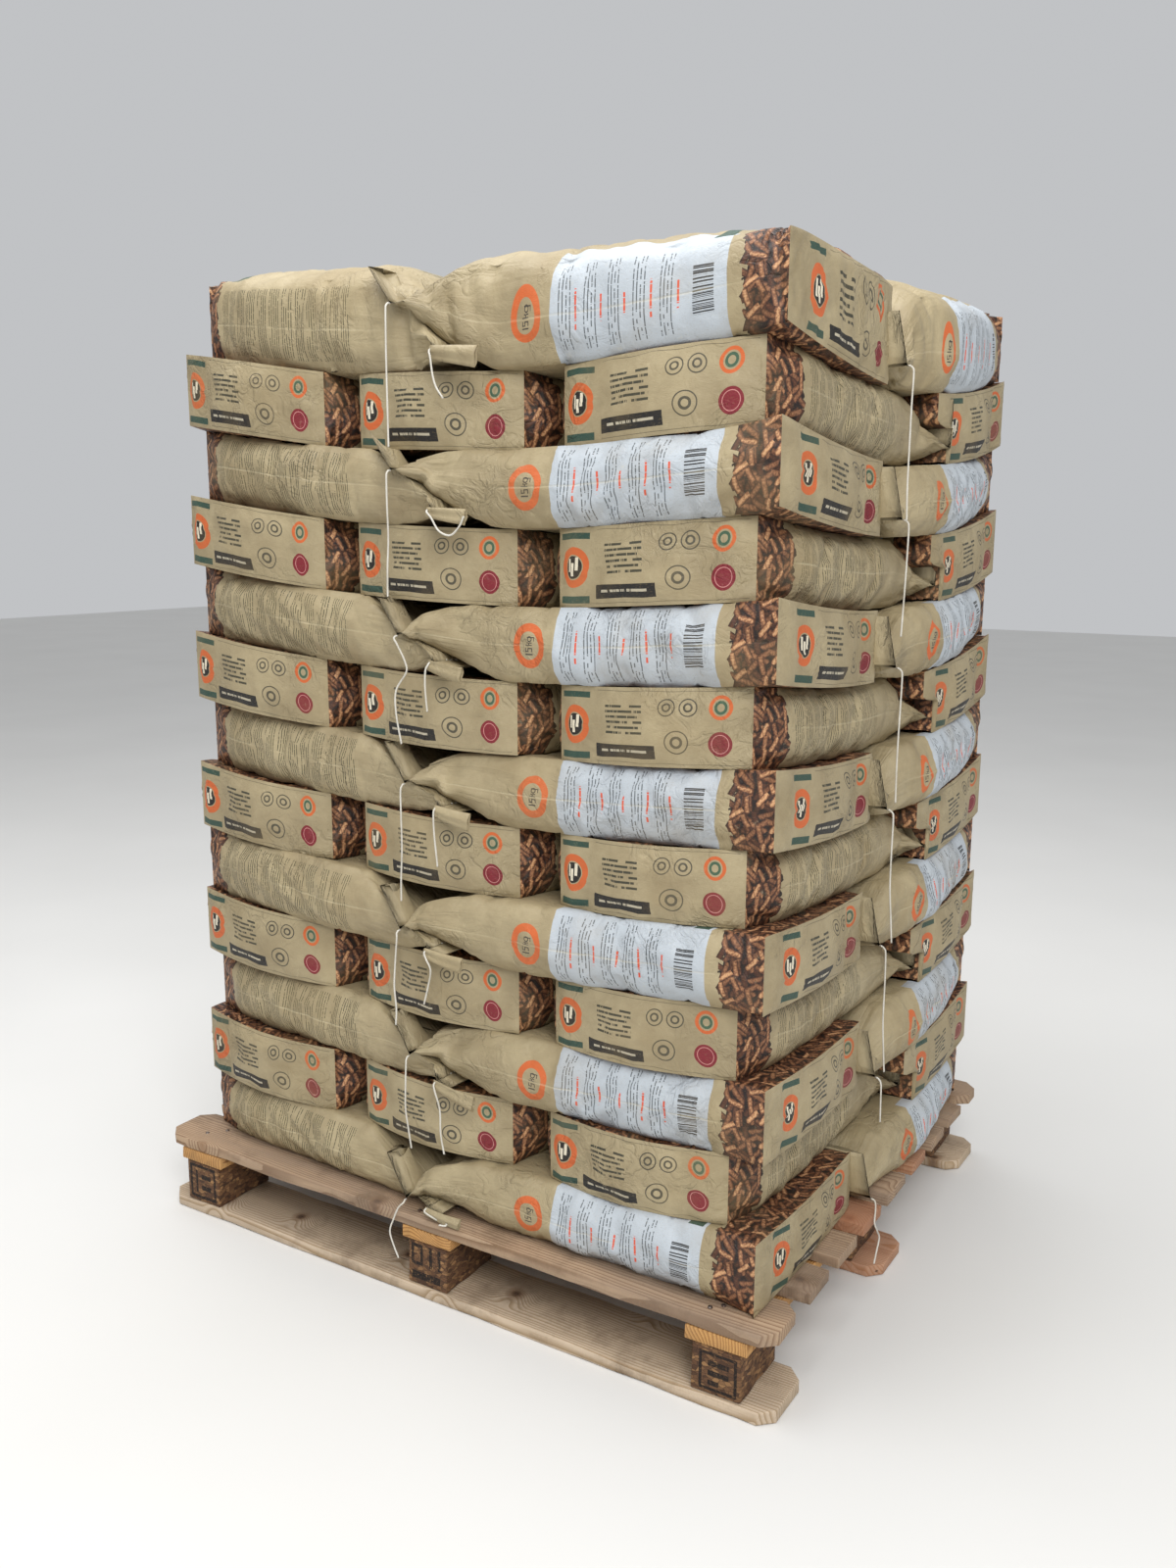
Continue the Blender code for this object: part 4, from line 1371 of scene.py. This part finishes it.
def kraft_label_side():
    """Kraft paper of one side: pellets, the white label and the orange ring."""
    material, tree, along, around, spot, colour = paper_base("kraft_label_side")
    colour = print_label(tree, along, around, colour)
    colour = print_weight(tree, along, around, colour)
    colour = print_pellets(tree, along, around, colour)
    finish_paper(tree, along, around, spot, colour, SACK_WIDTH / 2 + SACK_THICKNESS / 2)
    return material


def kraft_text_side():
    """Kraft paper of the other side: pellets and small print in thin lines."""
    material, tree, along, around, spot, colour = paper_base("kraft_text_side")
    colour = print_text_side(tree, along, around, colour)
    colour = print_pellets(tree, along, around, colour)
    finish_paper(tree, along, around, spot, colour,
                 SHEET_AROUND - SACK_WIDTH / 2 - SACK_THICKNESS / 2)
    return material


def kraft_broad_face():
    """Kraft paper of the two broad faces: pellets and the main print."""
    material, tree, along, around, spot, colour = paper_base("kraft_broad_face")
    colour = print_label_edge(tree, along, around, colour)
    colour = print_front(tree, along, around, colour)
    colour = print_pellets(tree, along, around, colour)
    finish_paper(tree, along, around, spot, colour)
    return material


def twisted_cotton():
    """Bleached cotton sewing thread: off-white and matt, with a soft fuzz and soiled patches."""
    material, tree = new_material("twisted_cotton")
    spot = put(tree, "TexCoord", out="Object")
    fuzz = put(tree, "TexNoise", spot, 1400.0, 3.0)
    soil = put(tree, "TexNoise", spot, 30.0, 3.0)
    colour = put(tree, "Mix", put(tree, "MapRange", soil, 0.4, 0.75, 0.0, 0.6),
                 srgb("#DDD9CE"), srgb("#B5AD9B"), data_type="RGBA")
    finish_material(tree, colour, 0.92, fuzz, 0.0002, Sheen_Weight=0.25)
    return material


# Timber

def rounded_timber(node, along, step):
    """A copy of a solid with its edges rounded, cut across every step so that it can bend."""
    bm = bmesh.new()
    bm.from_mesh(bpy.data.objects[node].data)
    bmesh.ops.remove_doubles(bm, verts=bm.verts, dist=1e-5)
    bmesh.ops.dissolve_limit(bm, angle_limit=math.radians(2), verts=bm.verts, edges=bm.edges)
    sharp = [edge for edge in bm.edges if edge.calc_face_angle(0.0) > math.radians(25)]
    bmesh.ops.bevel(bm, geom=sharp, offset=ARRIS, segments=2, profile=0.5, affect="EDGES",
                    material=-1)
    low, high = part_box(node)
    axis = Vector((0.0, 0.0, 0.0))
    axis[along] = 1.0
    count = max(1, round((high[along] - low[along]) / step))
    for part in range(1, count):
        middle = Vector(low)
        middle[along] += (high[along] - low[along]) * part / count
        bmesh.ops.bisect_plane(bm, geom=bm.verts[:] + bm.edges[:] + bm.faces[:],
                               plane_co=middle, plane_no=axis)
    return bm


def bend_and_chip(bm, bottom, seed, bow):
    """Lifts the underside of a board a little in places, and takes small chips off its edges."""
    spots = np.array([vert.co for vert in bm.verts])
    sway = ripples(spots * (1, 1, 0.2), seed, 0.25, 0.9, 5) * bow
    chips = np.abs(ripples(spots, seed + 50, 0.012, 0.05, 8)) * CHIP
    centre = (spots.max(0) + spots.min(0)) / 2
    half = (spots.max(0) - spots.min(0)) / 2
    inward = np.sign(centre - spots) * (np.abs(spots - centre) > half - 2.5 * ARRIS)
    for vert, sag, chip, turn in zip(bm.verts, sway, chips, inward):
        move = Vector(turn * chip)
        move.z += sag * (0.35 if vert.co.z < bottom + 0.005 else 0.0)
        vert.co += move
        vert.co.z = max(vert.co.z, bottom)


def timber(node, name, material, along, seed, bow=0.0012, step=0.05):
    """A pallet part: the solid with its edges rounded, and bent and chipped a little."""
    bm = rounded_timber(node, along, step)
    bend_and_chip(bm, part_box(node)[0][2], seed, bow)
    bmesh.ops.recalc_face_normals(bm, faces=bm.faces)
    mesh = finished_mesh(bm, name)
    mark(mesh, "board", seed * BOARD_STEP)
    mark(mesh, "redness", RED_BOARDS.get(node, 0.0))
    show(name, mesh, material, [node])
    mesh.set_sharp_from_angle(angle=math.radians(40))


def make_pallet():
    """Deck boards, runners, cross rails, blocks and nails."""
    weathered = pine("weathered_pine", 0, "#B1967A", "#866A50", 0.65)
    sawn = pine("fresh_sawn_pine", 0, "#CDB9A0", "#A58C6C", 0.30)
    resinous = pine("resinous_pine", 1, "#CB9A5C", "#9A6A36", 0.20)
    blocks = pressed_chipboard()
    for number in range(1, 10):
        timber(f"deck_board_{number}", f"deck_{number}", weathered, 0, number)
    for number, word in enumerate(("front", "middle", "back")):
        timber(f"bottom_board_{word}", f"runner_{word}", sawn, 0, 20 + number)
    for number, word in enumerate(("left", "middle", "right")):
        timber(f"stringer_{word}", f"cross_rail_{word}", resinous, 1, 30 + number)
    for row, side in enumerate(("front", "centre", "back")):
        for place, word in enumerate(("left", "middle", "right")):
            timber(f"block_{side}_{word}", f"foot_{side}_{word}", blocks, 1,
                   40 + row * 3 + place, bow=0.0, step=0.03)
    make_nails(driven_steel())


def make_nails(material):
    """Wire nails driven flush through the deck into the cross rails, as one piece."""
    bm = bmesh.new()
    for number in range(1, 10):
        low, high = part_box(f"deck_board_{number}")
        for rail, word in enumerate(("left", "middle", "right")):
            near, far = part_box(f"stringer_{word}")
            for nail in range(3 if number in (1, 9) else 2):
                chance = math.sin(number * 12.9 + rail * 4.7 + nail * 7.1)
                x = blend(near[0], far[0], (0.30, 0.72, 0.50)[nail] + 0.08 * chance)
                y = blend(low[1], high[1], (0.30, 0.66, 0.50)[nail] + 0.10 * chance)
                add_nail(bm, Vector((x, y, high[2])))
    show("nails", finished_mesh(bm, "nails"), material)


def add_nail(bm, spot):
    """The flat head of one nail."""
    made = bmesh.ops.create_cone(bm, cap_ends=True, segments=12, radius1=NAIL_RADIUS,
                                 radius2=NAIL_RADIUS * 0.86, depth=NAIL_HEIGHT)
    bmesh.ops.translate(bm, verts=made["verts"], vec=spot)


def stretched(tree, spot, along, lengthwise, crosswise):
    """Scales a place for a pattern that runs with the grain."""
    scale = tuple(lengthwise if axis == along else crosswise for axis in range(3))
    return put(tree, "VectorMath", spot, scale, operation="MULTIPLY")


def growth_rings(tree, spot, moved, own, knots, along):
    """Rings round the pith of each board's own log, pushed aside by knots: 1 in their late wood."""
    bend = put(tree, "TexNoise", stretched(tree, moved, along, 1.1, 9.0), 1.0, 2.0, 0.5,
               out="Color")
    bend = put(tree, "VectorMath", bend, (0.5, 0.5, 0.5), operation="SUBTRACT")
    bend = put(tree, "VectorMath", bend, Scale=0.055, operation="SCALE")
    rings = put(tree, "VectorMath", spot, bend, operation="ADD")
    pith = put(tree, "Math", own, operation="SINE")
    rings = stretched(tree, rings, along, 0.0, 1.0)
    offset = put(tree, "CombineXYZ", *[None if axis == along else
                                       put(tree, "Math", pith, 0.05 + 0.03 * axis,
                                           operation="MULTIPLY") for axis in range(3)])
    rings = put(tree, "VectorMath", rings, offset, operation="SUBTRACT")
    reach = put(tree, "VectorMath", rings, operation="LENGTH", out="Value")
    near = put(tree, "MapRange", knots, 0.0, 0.26, 1.0, 0.0, interpolation_type="SMOOTHSTEP")
    reach = put(tree, "Math", join(tree, "MULTIPLY", near, 0.028), reach, operation="ADD")
    year = put(tree, "Math", put(tree, "Math", reach, 1 / RING_WIDTH, operation="MULTIPLY"),
               operation="FRACT")
    return put(tree, "MapRange", year, 0.35, 1.0, 0.0, 1.0, interpolation_type="SMOOTHSTEP")


def weather_stains(tree, colour, moved, along, weather):
    """Grey streaks of weather and brown dirt, and a few boards redder than the rest."""
    stain = put(tree, "TexNoise", stretched(tree, moved, along, 2.2, 14.0), 1.0, 5.0, 0.65)
    grey = put(tree, "MapRange", stain, 0.38, 0.66, 0.0, weather)
    colour = tint(tree, colour, grey, "#7F6E5F")
    dirt = put(tree, "TexNoise", moved, 9.0, 6.0, 0.7)
    colour = tint(tree, colour, put(tree, "MapRange", dirt, 0.50, 0.74, 0.0, 0.65), "#57432F")
    red = put(tree, "Attribute", attribute_name="redness", out="Fac")
    return tint(tree, colour, join(tree, "MULTIPLY", red, 0.55), "#A9643C")


def saw_marks(tree, moved, lengthwise):
    """Fine marks across the board, which wander as the saw did."""
    saw = put(tree, "Math", lengthwise, math.tau / SAW_PITCH, operation="MULTIPLY")
    wander = put(tree, "Math", put(tree, "TexNoise", moved, 6.0, 2.0), 30.0,
                 operation="MULTIPLY")
    return put(tree, "Math", put(tree, "Math", saw, wander, operation="ADD"), operation="SINE")


def pine(name, along, light, dark, weather):
    """Sawn softwood. Along is the axis of its grain.

    The eye sees rings cut lengthwise as long lines with arcs round knots, arcs at the end
    grain, fine saw marks across, and grey or brown stains.
    """
    material, tree = new_material(name)
    spot = put(tree, "TexCoord", out="Object")
    own = put(tree, "Attribute", attribute_name="board", out="Fac")
    shift = put(tree, "CombineXYZ", put(tree, "Math", own, 3.1, operation="MULTIPLY"),
                put(tree, "Math", own, 1.7, operation="MULTIPLY"), own)
    moved = put(tree, "VectorMath", spot, shift, operation="ADD")
    axes = spot_axes(tree, moved)
    knot_place = put(tree, "CombineXYZ", axes[along], axes[1 - along], 0.0)
    knots = put(tree, "TexVoronoi", knot_place, voronoi_dimensions="2D", Scale=KNOT_SCALE)
    late = growth_rings(tree, spot, moved, own, knots, along)
    pores = put(tree, "TexNoise", stretched(tree, moved, along, 12.0, 700.0), 1.0, 2.0, 0.6)
    split = put(tree, "TexNoise", stretched(tree, moved, along, 1.5, 60.0), 1.0, 2.0)
    split = put(tree, "MapRange", split, 0.73, 0.76, 0.0, 1.0)

    colour = put(tree, "Mix", late, srgb(light), srgb(dark), data_type="RGBA")
    colour = tint(tree, colour, put(tree, "MapRange", knots, 0.04, 0.11, 0.75, 0.0), "#7A5433")
    colour = tint(tree, colour, put(tree, "MapRange", knots, 0.020, 0.052, 0.9, 0.0), "#3E2616")
    colour = tint(tree, colour, put(tree, "MapRange", pores, 0.5, 0.75, 0.0, 0.45), dark)
    colour = weather_stains(tree, colour, moved, along, weather)
    colour = tint(tree, colour, join(tree, "MULTIPLY", split, 0.7), "#3A2A1E")

    saw = join(tree, "MULTIPLY", saw_marks(tree, moved, axes[along]), 0.16)
    height = join(tree, "ADD", saw, join(tree, "MULTIPLY", pores, 0.9))
    height = join(tree, "SUBTRACT", height, join(tree, "MULTIPLY", split, 1.6))
    height = join(tree, "ADD", height, join(tree, "MULTIPLY", late, 0.35))
    finish_material(tree, colour, 0.86, height, 0.0007)
    return material


def spot_axes(tree, spot):
    """The three numbers of a place."""
    first = put(tree, "SeparateXYZ", spot)
    return first, first.node.outputs[1], first.node.outputs[2]


def pressed_chipboard():
    """Pressed chip blocks: flat chips of all browns in a dark binder, crumbly at the edges."""
    material, tree = new_material("pressed_chipboard")
    spot = put(tree, "TexCoord", out="Object")
    own = put(tree, "Attribute", attribute_name="board", out="Fac")
    shift = put(tree, "CombineXYZ", own, join(tree, "MULTIPLY", own, 2.0),
                join(tree, "MULTIPLY", own, 3.0))
    moved = put(tree, "VectorMath", spot, shift, operation="ADD")
    bend = put(tree, "TexNoise", moved, 90.0, 2.0, out="Color")
    warped = put(tree, "VectorMath", moved, put(tree, "VectorMath", bend, Scale=0.004,
                                                operation="SCALE"), operation="ADD")
    squashed = put(tree, "VectorMath", warped, (1.0, 1.0, 1.9), operation="MULTIPLY")
    chips = put(tree, "TexVoronoi", squashed, Scale=CHIP_SCALE, out="Color")
    chance = put(tree, "SeparateColor", chips)
    ramp = put(tree, "ValToRGB", chance)
    stops = ramp.node.color_ramp.elements
    stops[0].color = srgb("#4A3222")
    stops[1].color = srgb("#9E774E")
    stops.new(0.35).color = srgb("#67472F")
    stops.new(0.75).color = srgb("#7B593A")
    edge = put(tree, "TexVoronoi", squashed, feature="DISTANCE_TO_EDGE", Scale=CHIP_SCALE)
    gap = put(tree, "MapRange", edge, 0.0, 0.06, 0.75, 0.0)
    colour = tint(tree, ramp, gap, "#33251B")
    fine = put(tree, "TexNoise", moved, 900.0, 3.0, 0.7)
    colour = tint(tree, colour, put(tree, "MapRange", fine, 0.5, 0.8, 0.0, 0.5), "#3E2E22")
    height = put(tree, "Math", chance, join(tree, "MULTIPLY", fine, 0.6), operation="ADD")
    height = put(tree, "Math", height, gap, operation="SUBTRACT")
    colour = stamp(tree, spot, colour)
    finish_material(tree, colour, 0.9, height, 0.0009)
    return material


def stamp(tree, spot, colour):
    """Burnt-in frames and bars, smudged past reading, on the front blocks."""
    x, y, z = spot_axes(tree, spot)
    front = put(tree, "Math", y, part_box("block_front_left")[0][1] + 0.004, operation="LESS_THAN")
    marks = []
    for node, boxes in STAMPS.items():
        low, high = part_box(node)
        for left, right, bottom, top in boxes:
            size = (high[0] - low[0], high[2] - low[2])
            marks.append(bar(tree, x, z, (low[0] + left * size[0], low[0] + right * size[0],
                                          low[2] + bottom * size[1], low[2] + top * size[1])))
    patchy = put(tree, "TexNoise", spot, 260.0, 3.0, 0.7)
    patchy = put(tree, "MapRange", patchy, 0.30, 0.46, 0.0, 0.95)
    burnt = join(tree, "MULTIPLY", join(tree, "MAXIMUM", *marks), front, patchy)
    return tint(tree, colour, burnt, "#150E0B")


def driven_steel():
    """Bright steel wire nails, dulled: grey heads with brown rust round the rim."""
    material, tree = new_material("rusty_nail_steel")
    spot = put(tree, "TexCoord", out="Object")
    rust = put(tree, "TexNoise", spot, 300.0, 4.0, 0.7)
    colour = put(tree, "Mix", put(tree, "MapRange", rust, 0.4, 0.6, 0.0, 1.0), srgb("#8A8580"),
                 srgb("#5A3A28"), data_type="RGBA")
    finish_material(tree, colour, 0.5, rust, 0.0002, Metallic=0.8)
    return material


def plain_floor():
    """Pale matt studio floor."""
    material, tree = new_material("pale_floor")
    spot = put(tree, "TexCoord", out="Object")
    cloud = put(tree, "TexNoise", spot, 1.5, 2.0)
    colour = put(tree, "Mix", cloud, srgb("#DAD9D6"), srgb("#E2E1DE"), data_type="RGBA")
    finish_material(tree, colour, 0.85, cloud, 0.0001)
    return material


def make_floor():
    """A floor just under the pallet."""
    bm = bmesh.new()
    bmesh.ops.create_grid(bm, x_segments=1, y_segments=1, size=15.0)
    bmesh.ops.translate(bm, verts=bm.verts, vec=(0.0, 0.0, -0.0005))
    mesh = finished_mesh(bm, "floor")
    obj = bpy.data.objects.new("floor", mesh)
    bpy.context.scene.collection.objects.link(obj)
    mesh.materials.append(plain_floor())


def make_light():
    """Pale surroundings, a soft lamp from the right front and one from above."""
    world = bpy.data.worlds.new("studio")
    bpy.context.scene.world = world
    world.use_nodes = True
    world.node_tree.nodes["Background"].inputs["Color"].default_value = srgb("#F2F4F7")
    world.node_tree.nodes["Background"].inputs["Strength"].default_value = WORLD_LIGHT
    for name, place, size, power in LAMPS:
        lamp = bpy.data.lights.new(name, "AREA")
        lamp.size = size
        lamp.energy = power
        obj = bpy.data.objects.new(name, lamp)
        obj.location = place
        aim = Vector((0.0, 0.0, 0.7)) - obj.location
        obj.rotation_euler = aim.to_track_quat("-Z", "Y").to_euler()
        bpy.context.scene.collection.objects.link(obj)
    bpy.context.scene.view_settings.view_transform = "Standard"


def main():
    """Builds the whole picture."""
    make_camera()
    cotton = twisted_cotton()
    make_threads(cotton)
    make_sacks([kraft_block_end(), kraft_label_side(), kraft_text_side(), kraft_broad_face()],
               cotton)
    make_pallet()
    make_floor()
    make_light()


main()
